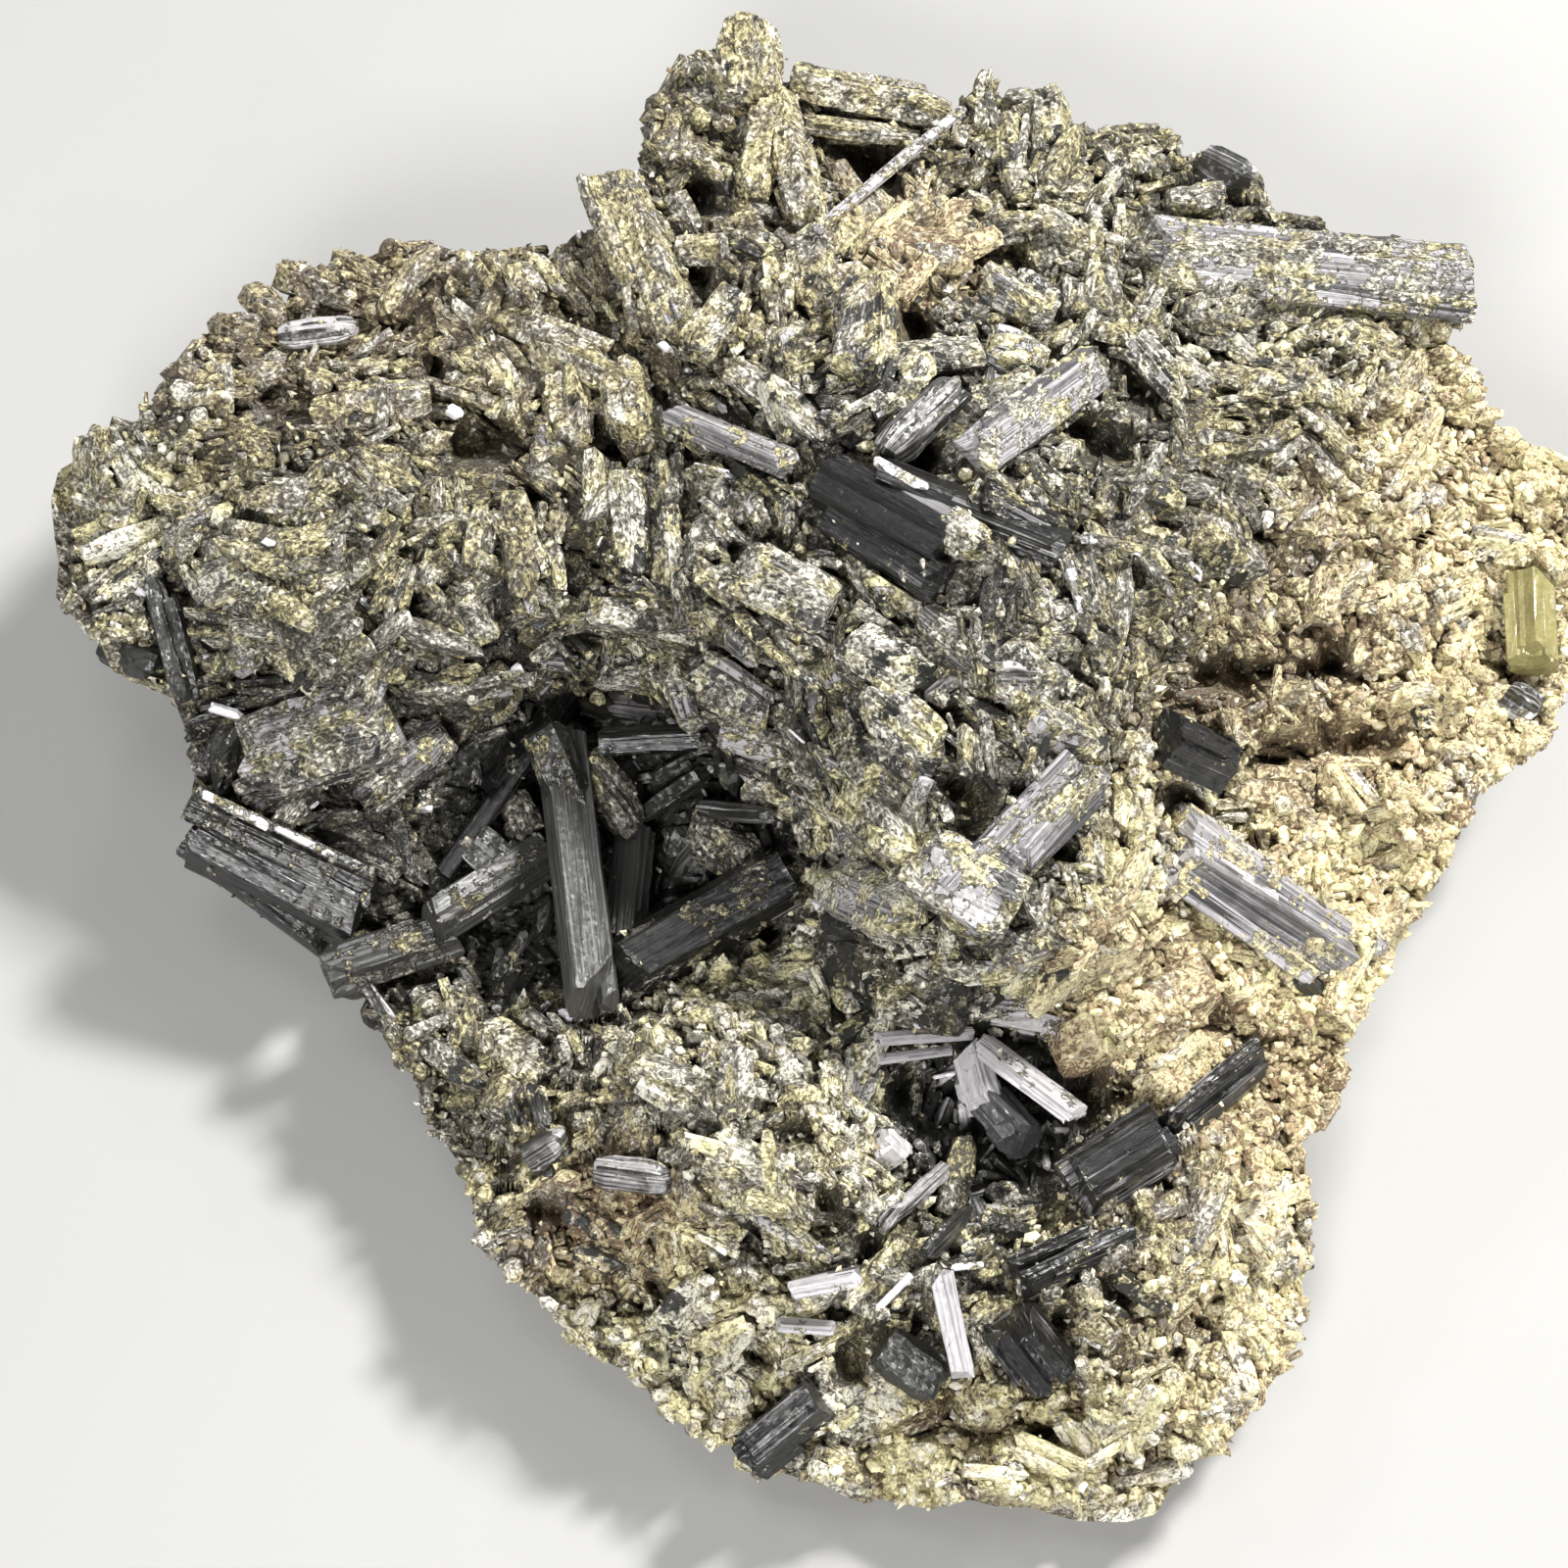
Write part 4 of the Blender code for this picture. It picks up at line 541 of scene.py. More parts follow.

# Small crystals painted near white as glints, painted highlights where faces catch the light;
# rows as in Large
PAINTED_GLINT_CHIPS = (
    (-34.2, 38.3, 1.4, -32.8, 37.5, 1.6, 1.3, 0.2, 0, 0, 1),
    (-12.6, 45, 1.6, -11.6, 44.2, 1.8, 0.9, 0.2, 0, 0, 1),
    (-53.2, 24.9, 1.4, -52, 24.3, 1.6, 0.8, 0.2, 0, 0, 1),
    (-66.1, 19.8, 1.2, -64.9, 19.3, 1.4, 0.9, 0.2, 0, 0, 1),
    (-27.4, 11.8, 1.8, -26.2, 10.2, 2, 1.3, 0.3, 0, 0, 1),
    (-11.8, 6.7, 1.8, -10.6, 5.1, 2, 0.8, 0.2, 0, 0, 1),
    (-22.7, -23.1, 2.8, -21.7, -23.9, 3, 0.9, 0.2, 0, 0, 1),
    (-25.2, -5.1, 3.8, -24.6, -5.9, 4, 0.8, 0.2, 0, 0, 1),
    (45.8, -50, 1.4, 47.2, -51, 1.6, 1.4, 0.3, 0, 0, 1),
    (30.2, 25.2, 1, 34, 24.6, 1.2, 1.3, 0.54, 0, 0, 0.7),
    (33.4, 24.6, 1.1, 36.6, 23.8, 1.3, 1.1, 0.54, 0, 0, 0.7),
    (17, -49.4, 2.2, 20.4, -49, 2.4, 0.8, 0.3, 0, 0, 0.9),
    (13, -50, 1.8, 9.5, -53.5, 2, 0.8, 0.3, 0, 0, 0.9),
    (-58.6, 7.9, 1.8, -55.2, 6.8, 2, 1.1, 0.2, 0, 0, 0.9),
    (-9, 32.4, 1.2, -5.6, 31.6, 1.4, 1, 0.5, 0, 0, 0.8),
    (28.6, 23.4, 1, 30.6, 17.4, 1.2, 1.2, 0.54, 0, 0, 0.6),
    (-44, 12, 1.4, -42.4, 10.6, 1.6, 0.9, 0.4, 0, 0, 0.9),
    (-31, -11.6, 2.8, -29.8, -12.8, 3, 0.8, 0.2, 0, 0, 0.9),
    (41, 22.6, 1, 42.6, 21, 1.2, 1, 0.4, 0, 0, 0.9),
    (-7.4, -46.6, 1.4, -5.8, -48, 1.6, 0.9, 0.3, 0, 0, 1),
    (30.6, -56.4, 1.4, 32.4, -57.2, 1.6, 1, 0.3, 0, 0, 1),
    (-59.4, -1, 4.4, -52.6, -4.4, 4.4, 1.1, 0.46, 0, 0, 0.8),
    (-52, -4.4, 4.2, -45.6, -7.6, 4.2, 0.9, 0.46, 0, 0, 0.8),
    (5.8, 31.4, 2.9, 13.4, 27.4, 2.3, 0.7, 0.4, 0, 0, 0.7),
    (9.2, 33, 2.6, 14.6, 30, 2.4, 1.2, 0.4, 0, 0, 0.6),
    (-18.4, -20, 7.4, -8.6, -13.4, 5, 0.6, 0.5, 0, 0, 0.7),
)


def prism_table(rows: Rows) -> Array:
    """Rows of prisms as a table, each completed with the usual last values."""
    return np.array([(*row, *ROW_TAIL[len(row) - ROW_LEAST :]) for row in rows], dtype=float)


def zone_values(*names: str) -> Array:
    """The zones' values under the names of their fields, with a column for each name."""
    return np.array([[getattr(zone, name) for name in names] for zone in ZONES.values()])


def zone_weights(across: Array, up: Array, narrowing: float = 0.75) -> Array:
    """Weighs the zones by nearness: exp(-distance^2 / 2 (narrowing reach)^2) over their sum.

    Args:
        across: Places across.
        up: Places up.
        narrowing: Share of a zone's reach that counts.

    Returns:
        One share for each zone, last, which add up to one.
    """
    middle_across, middle_up, reach = zone_values("across", "up", "reach").T
    apart = (across[..., None] - middle_across) ** 2 + (up[..., None] - middle_up) ** 2
    exponent = -apart / (2 * (narrowing * reach) ** 2)
    weight = np.exp(exponent - exponent.max(axis=-1, keepdims=True))
    return weight / weight.sum(axis=-1, keepdims=True)


def zone_tones(across: Array, up: Array) -> Array:
    """Values for each Tone at places, last, blended from the zones."""
    values = zone_values("cover", "warmth", "light", "grains", "growth")
    return zone_weights(across, up) @ values


def zone_runs(across: Array, up: Array) -> tuple[Array, Array]:
    """Blends the way that the crystals lie at places.

    Angles are blended as vectors at twice the angle, because a crystal has no front end.

    Args:
        across: Places across.
        up: Places up.

    Returns:
        Angles in radians, and how far the crystals stray from them.
    """
    weight = zone_weights(across, up)
    turns = np.radians(2 * zone_values("run")[:, 0])
    run = np.arctan2(weight @ np.sin(turns), weight @ np.cos(turns)) / 2
    return run, np.radians(weight @ zone_values("spread")[:, 0].astype(float))


def in_pits(place: Array, share: float) -> Array:
    """Which places lie nearer to a pit's middle than a share of its radius."""
    apart = np.linalg.norm(place[..., None, :] - PITS[:, :2], axis=-1)
    return (apart < share * PITS[:, 2]).any(axis=-1)


def smooth(share: Array) -> Array:
    """Smooth step from 0 to 1: s^2 (3 - 2 s)."""
    return share * share * (3 - 2 * share)


def painted_gap_shading(light: Array, height: Array, below: float = 3.2, span: float = 4.4) -> Array:
    """Lowers the light tone in the gaps and raises it on what stands out.

    This paints shade into the gaps and light onto what stands out. The factor is least + gain
    s^2 (3 - 2 s), where s goes from 0 to 1 over the span.

    Args:
        light: Light tones.
        height: Heights over the outer surface.
        below: Depth at which the factor is least.
        span: Height from there to where it is greatest.

    Returns:
        Light tones.
    """
    share = np.clip((height + below) / span, 0.0, 1.0)
    least, gain = PAINTED_SHADING_FACTOR
    return np.clip(light * (least + gain * share * share * (3 - 2 * share)), 0.0, 1.0)


def lumps(points: Array, size: float, seed: int, cubes: int = 32) -> Array:
    """Smooth random heights in space, between -1 and 1.

    A table of random numbers lies on the corners of cubes of the size. Within a cube they are
    blended along x, y and z by a smooth step.

    Args:
        points: Points, with x, y and z last.
        size: Side of a cube.
        seed: Seed of the table.
        cubes: Number of cubes after which the table starts again.

    Returns:
        One height for each point.
    """
    table = np.random.default_rng(seed).uniform(-1, 1, (cubes, cubes, cubes))
    cube = np.floor(points / size).astype(int)
    share = smooth(points / size - cube)
    total = np.zeros(points.shape[:-1])
    for corner in np.ndindex(2, 2, 2):
        weight = np.where(np.array(corner) == 1, share, 1 - share).prod(-1)
        spot = (cube + corner) % cubes
        total = total + weight * table[spot[..., 0], spot[..., 1], spot[..., 2]]
    return total


def unit(vectors: Array) -> Array:
    """Vectors brought to length one."""
    return vectors / np.maximum(np.linalg.norm(vectors, axis=-1, keepdims=True), 1e-12)


def grid_faces(number: Array) -> Array:
    """Four-cornered faces of a grid of point numbers, anticlockwise from above."""
    corners = (number[:-1, :-1], number[1:, :-1], number[1:, 1:], number[:-1, 1:])
    return np.stack(corners, axis=-1).reshape(-1, 4)


def closed(rings: Array) -> Array:
    """Rings of point numbers, each with its first number again at its end."""
    return np.concatenate((rings, rings[:, :1]), axis=1)


def fan(tip: int, ring: Array, turned: bool) -> Array:
    """Three-cornered faces from a tip to the sides of a closed ring, turned over if asked."""
    first, second = (ring[1:], ring[:-1]) if turned else (ring[:-1], ring[1:])
    return np.stack((np.full(len(first), tip), first, second), axis=-1)


def repeated(faces: Array, count: int, each: int) -> Array:
    """Faces of one body repeated for a count of bodies of so many points each."""
    return (faces[None] + each * np.arange(count)[:, None, None]).reshape(-1, faces.shape[1])


def cell_middles(grid: Array) -> Array:
    """Mean of each cell's four corners."""
    return (grid[:-1, :-1] + grid[1:, :-1] + grid[:-1, 1:] + grid[1:, 1:]) / 4


def cell_normals(grid: Array) -> Array:
    """Cross product of each cell's two middle lines, as long as the cell's area."""
    first = (grid[1:, :-1] + grid[1:, 1:] - grid[:-1, :-1] - grid[:-1, 1:]) / 2
    second = (grid[:-1, 1:] + grid[1:, 1:] - grid[:-1, :-1] - grid[1:, :-1]) / 2
    return np.cross(first, second)


def blur(grid: Array, rounds: int = 4) -> Array:
    """Blends each cell of a grid with its neighbours: (2 cell + their sum) / 6, in rounds.

    Args:
        grid: Cells, with x, y and z last.
        rounds: How often it is done.

    Returns:
        The blended grid.
    """
    for _ in range(rounds):
        wide = np.pad(grid, ((1, 1), (1, 1), (0, 0)), mode="edge")
        beside = (wide[:-2, 1:-1], wide[2:, 1:-1], wide[1:-1, :-2], wide[1:-1, 2:])
        grid = sum(beside, grid * 2) / 6
    return grid


def point_tones(points: Array, spare: float = 0.5) -> Array:
    """Cover, warmth and light at points, from the zones behind them, and a spare value last."""
    tones = zone_tones(*VIEW.place(points))[..., :3]
    return np.concatenate((tones, np.full((*tones.shape[:-1], 1), spare)), axis=-1)


def own_tones(tones: Array, draw: Generator, strays: dict[Tone, float]) -> Array:
    """Gives each crystal or grain tones of its own.

    Args:
        tones: Tones of the places that they grow on.
        draw: Seeded source of the differences.
        strays: How far the tones stray from their place's.

    Returns:
        Cover, warmth, light and a random value for each.
    """
    made = np.concatenate((tones[:, :3], draw.random((len(tones), 1))), axis=-1)
    for tone, stray in strays.items():
        moved = made[:, tone.value] + draw.normal(0, stray, len(tones))
        made[:, tone.value] = np.clip(moved, 0, 1)
    return made


def random_axes(count: int, draw: Generator) -> Array:
    """Three axes at right angles for each of a count of grains, turned at random."""
    first = unit(draw.normal(size=(count, 3)))
    second = unit(np.cross(first, draw.normal(size=(count, 3))))
    return np.stack((first, second, np.cross(first, second)), axis=1)


@dataclass(frozen=True)
class Skin:
    """Places where crystals and grains can grow: one row for each small cell of a surface.

    outer is the level that the crystals reach and points the ground between them, normals is
    smoothed and facing is the ground's own, and tones has a column for each Tone.
    """

    outer: Array
    points: Array
    normals: Array
    facing: Array
    areas: Array
    tones: Array

    @classmethod
    def joined(cls, parts: list["Skin"]) -> "Skin":
        """One skin of several."""
        return cls(*map(np.concatenate, zip(*(vars(part).values() for part in parts))))

    def pick(self, count: int, tone: Tone, power: float, draw: Generator) -> Array:
        """Draws cells by their area times a power of one of their tones.

        Args:
            count: Number of draws.
            tone: The tone that counts.
            power: How strongly it counts.
            draw: Seeded source of the draws.

        Returns:
            Numbers of cells.
        """
        chance = self.areas * self.tones[:, tone.value] ** power
        return draw.choice(len(chance), count, p=chance / chance.sum())


@dataclass(frozen=True)
class Shell:
    """A surface in the making.

    points are in millimetres, one in each row, and tones has four values for each. Each array of
    faces holds the point numbers of faces of one number of corners. seams holds their corners'
    UV places, which are the points' x and y where none are given.
    """

    points: Array
    tones: Array
    faces: list[Array]
    seams: list[Array] | None = None

    def skin(self) -> Skin:
        """Takes the four-cornered faces as places where more can settle.

        Returns:
            Their middles, normals and areas; grains settle by the square of the cover.
        """
        corners = self.faces[0]
        spots = self.points[corners]
        middle = spots.mean(axis=1)
        normal = np.cross(spots[:, 2] - spots[:, 0], spots[:, 3] - spots[:, 1]) / 2
        tone = self.tones[corners[:, 0]]
        tones = np.column_stack((tone[:, :3], tone[:, 0] ** 2, tone[:, 3]))
        area = np.linalg.norm(normal, axis=-1)
        return Skin(middle, middle, unit(normal), unit(normal), area, tones)

    def build(self, name: str, material: Material) -> bpy.types.Object:
        """Makes the object, with its place in its mesh, and dresses it.

        Args:
            name: Name of the piece.
            material: Its finish.

        Returns:
            The object.
        """
        mesh = bpy.data.meshes.new(name)
        sizes = np.concatenate([np.full(len(a), a.shape[1]) for a in self.faces])
        corners = np.concatenate([a.ravel() for a in self.faces])
        mesh.vertices.add(len(self.points))
        mesh.vertices.foreach_set("co", (self.points * MM).ravel().astype(np.float32))
        mesh.loops.add(len(corners))
        mesh.loops.foreach_set("vertex_index", corners.astype(np.int32))
        mesh.polygons.add(len(sizes))
        starts = np.concatenate(([0], np.cumsum(sizes)[:-1])).astype(np.int32)
        mesh.polygons.foreach_set("loop_start", starts)
        mesh.polygons.foreach_set("use_smooth", np.zeros(len(sizes), dtype=bool))
        mesh.update(calc_edges=True)
        seams = self.seams or [self.points[face][..., :2] for face in self.faces]
        seam = np.concatenate([a.reshape(-1, 2) for a in seams]).astype(np.float32)
        mesh.uv_layers.new(name="grain").data.foreach_set("uv", seam.ravel())
        tone = mesh.attributes.new("tone", "FLOAT_COLOR", "POINT")
        tone.data.foreach_set("color", self.tones.astype(np.float32).ravel())
        mesh.materials.append(material)
        made = bpy.data.objects.new(name, mesh)
        bpy.context.scene.collection.objects.link(made)
        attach(made, BODY)
        LOG.info("%s: %d triangles", name, int((sizes - 2).sum()))
        return made


@dataclass(frozen=True)
class Facets:
    """Broken facets: jittered cells, each with its own step and slopes.

    A point takes offset step + slope (a dx + b dy) of the nearest cell's middle, where offset,
    a and b lie between -1 and 1.
    """

    cell: float
    step: float
    slope: float
    seed: int
    table: int = 64

    def relief(self, across: Array, up: Array) -> Array:
        """Works out the heights of the facets, by a search of the nine cells round each place.

        Args:
            across: Places across.
            up: Places up.

        Returns:
            One height for each place.
        """
        table = np.random.default_rng(self.seed).random((self.table, self.table, 5))
        column = np.floor(across / self.cell).astype(int)
        row = np.floor(up / self.cell).astype(int)
        nearest = np.full(np.shape(across), np.inf)
        height = np.zeros_like(nearest)
        for step_x, step_y in np.ndindex(3, 3):
            spot_x, spot_y = column + step_x - 1, row + step_y - 1
            pick = table[spot_x % self.table, spot_y % self.table]
            apart_x = across - (spot_x + pick[..., 0]) * self.cell
            apart_y = up - (spot_y + pick[..., 1]) * self.cell
            apart = apart_x**2 + apart_y**2
            tilt = (2 * pick[..., 3] - 1) * apart_x + (2 * pick[..., 4] - 1) * apart_y
            here = self.step * (2 * pick[..., 2] - 1) + self.slope * tilt
            height = np.where(apart < nearest, here, height)
            nearest = np.minimum(apart, nearest)
        return height


@dataclass(frozen=True)
class Rock:
    """The grown mass: a top sheet over the viewing plane, a side wall and a flat base."""

    middle: Pair = (5.0, 5.0)
    relief_reach: float = 6.4
    least_height: float = 2.5
    base_share: float = 0.74
    base_middle: Place = (2.0, 2.0, 0.0)
    side_fullness: float = 1.7
    side_dent: float = 4.0
    side_gaps: float = 0.75
    rim_smoothing: float = 9.0
    rim_steps: int = 7
    top_cells: int = 250
    wall_rings: int = 34
    coarse: Facets = Facets(8.0, 1.9, 0.44, 11)
    side: Facets = Facets(8.0, 1.0, 0.0, 12)
    side_scale: Pair = (60.0, 30.0)
    fine: tuple[Facets, ...] = (
        Facets(4.2, 0.8, 0.45, 21),
        Facets(1.9, 0.4, 0.4, 22),
        Facets(0.9, 0.16, 0.3, 23),
    )
    fine_scale: float = 70.0
    pit_turn: float = 2.4
    pit_shape: Pair = (1.5, 1.35)
    sunk: float = 3.4
    crease_size: float = 7.0
    crease_width: float = 0.15
    crease_depth: float = 3.0
    crease_most: float = 1.2
    crease_seed: int = 31
    more_cover: float = 0.16

    def rim_radius(self, angle: Array) -> Array:
        """Works out the rim's distance from the middle, straight between the rim's points.

        Args:
            angle: Angles round the middle.

        Returns:
            One distance for each angle.
        """
        rim = RIM - np.array(self.middle)
        rim_angle = np.arctan2(rim[:, 1], rim[:, 0]) % (2 * math.pi)
        order = np.argsort(rim_angle)
        lengths = np.hypot(rim[:, 0], rim[:, 1])[order]
        return np.interp(angle, rim_angle[order], lengths, period=2 * math.pi)

    def smooth_height(self, across: Array, up: Array) -> Array:
        """Takes the mean of the relief points' heights, weighted by exp(-distance^2 / 2 reach^2).

        Args:
            across: Places across.
            up: Places up.

        Returns:
            One height for each place.
        """
        apart = (np.asarray(across)[..., None] - RELIEF[:, 0]) ** 2
        apart = apart + (np.asarray(up)[..., None] - RELIEF[:, 1]) ** 2
        weight = np.exp(-apart / (2 * self.relief_reach**2)) + 1e-12
        return (weight @ RELIEF[:, 2]) / weight.sum(-1)

    def pit_depth(self, across: Array, up: Array) -> Array:
        """Works out the pits: depth (1 - (distance / radius)^2) inside each, where that is over 0.

        The distance is divided by the first of pit_shape along a pit's own direction and
        multiplied by the second across it.

        Args:
            across: Places across.
            up: Places up.

        Returns:
            One depth for each place.
        """
        turn = self.pit_turn * np.arange(len(PITS))
        right, upward = across[..., None] - PITS[:, 0], up[..., None] - PITS[:, 1]
        along = (right * np.cos(turn) + upward * np.sin(turn)) / self.pit_shape[0]
        aside = (upward * np.cos(turn) - right * np.sin(turn)) * self.pit_shape[1]
        inside = np.clip(1.0 - (along**2 + aside**2) / PITS[:, 2] ** 2, 0.0, 1.0)
        return (PITS[:, 3] * inside).max(-1)

    def gap_depth(self, across: Array, up: Array) -> Array:
        """Works out the gaps between crystals and the creases between lumps of crust.

        The gaps are sunk growth (1 - grains / 2) deep, where that is above 0. The creases run
        where smooth random heights pass 0: depth (1 - |height| / width) grains, the last at most
        crease_most.

        Args:
            across: Places across.
            up: Places up.

        Returns:
            One depth for each place.
        """
        tones = zone_tones(across, up)
        grains = tones[..., Tone.GRAINS.value]
        gaps = self.sunk * tones[..., Tone.GROWTH.value] * np.maximum(0.0, 1.0 - grains / 2)
        places = np.stack((across, up, np.zeros_like(across)), axis=-1)
        height = lumps(places, self.crease_size, self.crease_seed)
        near = np.clip(1.0 - np.abs(height) / self.crease_width, 0.0, 1.0)
        return gaps + self.crease_depth * near * np.minimum(grains, self.crease_most)

    def top(self, angle: Array, reach: Array, rough: bool) -> Array:
        """Works out the top sheet: smooth height and coarse facets, and finer relief if rough.

        Args:
            angle: Angles round the middle.
            reach: Shares of the way from the middle to the rim.
            rough: Whether the finer facets, pits and gaps are there.

        Returns:
            Points, with x, y and z last.
        """
        radius = self.rim_radius(angle) * reach
        across = self.middle[0] + radius * np.cos(angle)
        up = self.middle[1] + radius * np.sin(angle)
        height = self.smooth_height(across, up) + self.coarse.relief(across, up)
        if rough:
            for layer in self.fine:
                height = height + layer.relief(across, up)
            height = height - self.pit_depth(across, up) - self.gap_depth(across, up)
        return VIEW.point(across, up, np.maximum(height, self.least_height))

    def wall(self, angle: Array, drop: Array, rough: bool) -> Array:
        """Works out the wall, from the rim at drop 0 to the base's edge at drop 1.

        In plan it goes rim + (edge - rim) drop^fullness, and in height it falls evenly. Facets
        and the gaps between crystals dent it along the ray from the middle, least at its edges.

        Args:
            angle: Angles round the middle.
            drop: Shares of the way down.
            rough: Whether the finer facets and gaps are there.

        Returns:
            Points, with x, y and z last.
        """
        rim = self.top(angle, np.ones_like(angle), rough)
        ends = self.rim_smoothing
        spread = np.radians(np.linspace(-ends, ends, self.rim_steps))
        near = self.rim_radius(angle[..., None] + spread).mean(-1)
        across = self.middle[0] + near * np.cos(angle)
        up = self.middle[1] + near * np.sin(angle)
        outline = VIEW.point(across, up, np.full_like(across, self.least_height))
        base = np.array(self.base_middle)
        edge = base + self.base_share * (outline - base)
        points = rim + (edge - rim) * (drop**self.side_fullness)[..., None]
        points[..., 2] = rim[..., 2] * (1 - drop)
        swell = np.sin(math.pi * drop)
        offset = self.side.relief(angle * self.side_scale[0], drop * self.side_scale[1])
        dent = self.side_dent * (offset - 1) / 2 * swell
        if rough:
            for layer in self.fine:
                relief = layer.relief(angle * self.fine_scale, points[..., 2])
                dent = dent + relief * np.sqrt(swell)
            gaps = self.gap_depth(*VIEW.place(points))
            dent = dent - self.side_gaps * gaps * np.sqrt(swell)
        points[..., 0] += dent * np.cos(angle)
        points[..., 1] += dent * np.sin(angle)
        return points

    def top_grid(self) -> tuple[Array, Array]:
        """Bends an even square grid onto a disc, ring by ring.

        For u and v from -1 to 1, reach is the larger of |u| and |v|, and the angle runs evenly
        along the sides of each square.

        Returns:
            Angles and reaches.
        """
        steps = np.linspace(-1.0, 1.0, self.top_cells + 1)
        u, v = np.meshgrid(steps, steps, indexing="ij")
        safe_u, safe_v = (np.where(side == 0, 1.0, side) for side in (u, v))
        across = math.pi / 4 * v / safe_u + np.where(u < 0, math.pi, 0.0)
        along = math.pi / 2 - math.pi / 4 * u / safe_v + np.where(v < 0, math.pi, 0.0)
        wide = np.abs(u) > np.abs(v)
        return np.where(wide, across, along), np.maximum(np.abs(u), np.abs(v))

    def rim_order(self) -> Array:
        """Numbers of the top sheet's edge points, anticlockwise from its lower right corner."""
        last = self.top_cells
        run = np.arange(last)
        right, back = last * (last + 1) + run, (last - run) * (last + 1) + last
        return np.concatenate((right, back, last - run, run * (last + 1)))

    def grids(self, rough: bool) -> tuple[Array, Array]:
        """Works out both sheets.

        Args:
            rough: Whether the finer relief is there.

        Returns:
            Points of the top sheet and of the wall, each as a grid.
        """
        angle, reach = self.top_grid()
        drop = np.linspace(0.0, 1.0, self.wall_rings + 1)
        ring, around = np.meshgrid(drop, angle.ravel()[self.rim_order()], indexing="ij")
        return self.top(angle, reach, rough), self.wall(around, ring, rough)

    def shell(self) -> Shell:
        """Closes the rough surface: top sheet, wall rings and a base that runs to its middle.

        Returns:
            The shell, a little more covered where crust prevails, with painted shade in its gaps
            and painted light on what stands out.
        """
        top, wall = self.grids(True)
        side = self.top_cells + 1
        rim = self.rim_order()
        lower = len(rim) * np.arange(self.wall_rings)[:, None] + np.arange(len(rim))
        rings = closed(np.concatenate((rim[None], side**2 + lower)))
        foot = np.array(self.base_middle)[None]
        points = np.concatenate((top.reshape(-1, 3), wall[1:].reshape(-1, 3), foot))
        faces = [
            grid_faces(np.arange(side**2).reshape(side, side)),
            grid_faces(rings)[:, ::-1],
            fan(len(points) - 1, rings[-1], True),
        ]
        tones = point_tones(points)
        tones[:, 0] += self.more_cover * np.clip(5 * tones[:, 0] - 2, 0, 1)
        outer = np.concatenate((self.grids(False)[0].reshape(-1, 3), points[side**2 :]))
        # Painted shade and light: the light tone drops below the smooth outer surface and rises
        # above it
        tones[:, 2] = painted_gap_shading(tones[:, 2], points[:, 2] - outer[:, 2])
        return Shell(points, tones, faces)

    def skin(self) -> Skin:
        """Takes the cells of the top sheet and the wall as places to grow on.

        Returns:
            Their middles, outward normals and areas, all in one row.
        """
        parts = []
        for rough, even, flip in zip(self.grids(True), self.grids(False), (1.0, -1.0)):
            outer = cell_middles(even)
            coarse = cell_normals(even) * flip
            columns = (
                outer,
                cell_middles(rough),
                unit(blur(unit(coarse))),
                unit(cell_normals(rough) * flip),
                np.linalg.norm(coarse, axis=-1),
                zone_tones(*VIEW.place(outer)),
            )
            parts.append(Skin(*(a.reshape(-1, *a.shape[2:]) for a in columns)))
        return Skin.joined(parts)


@dataclass(frozen=True)
class Cut:
    """How finely crystals are cut.

    grooves is the number of points along each side, bevel the share of a side that a corner's
    bevel takes (0 leaves the corners sharp), levels the shares of the length at which rings of
    the outline lie, swell the share by which each point of a ring moves out or in at random, and
    rough the height in millimetres by which lumps lift the sides.
    """

    grooves: int = 0
    bevel: float = 0.0
    levels: tuple[float, ...] = (0.0, 1.0)
    swell: float = 0.03
    rough: float = 0.0


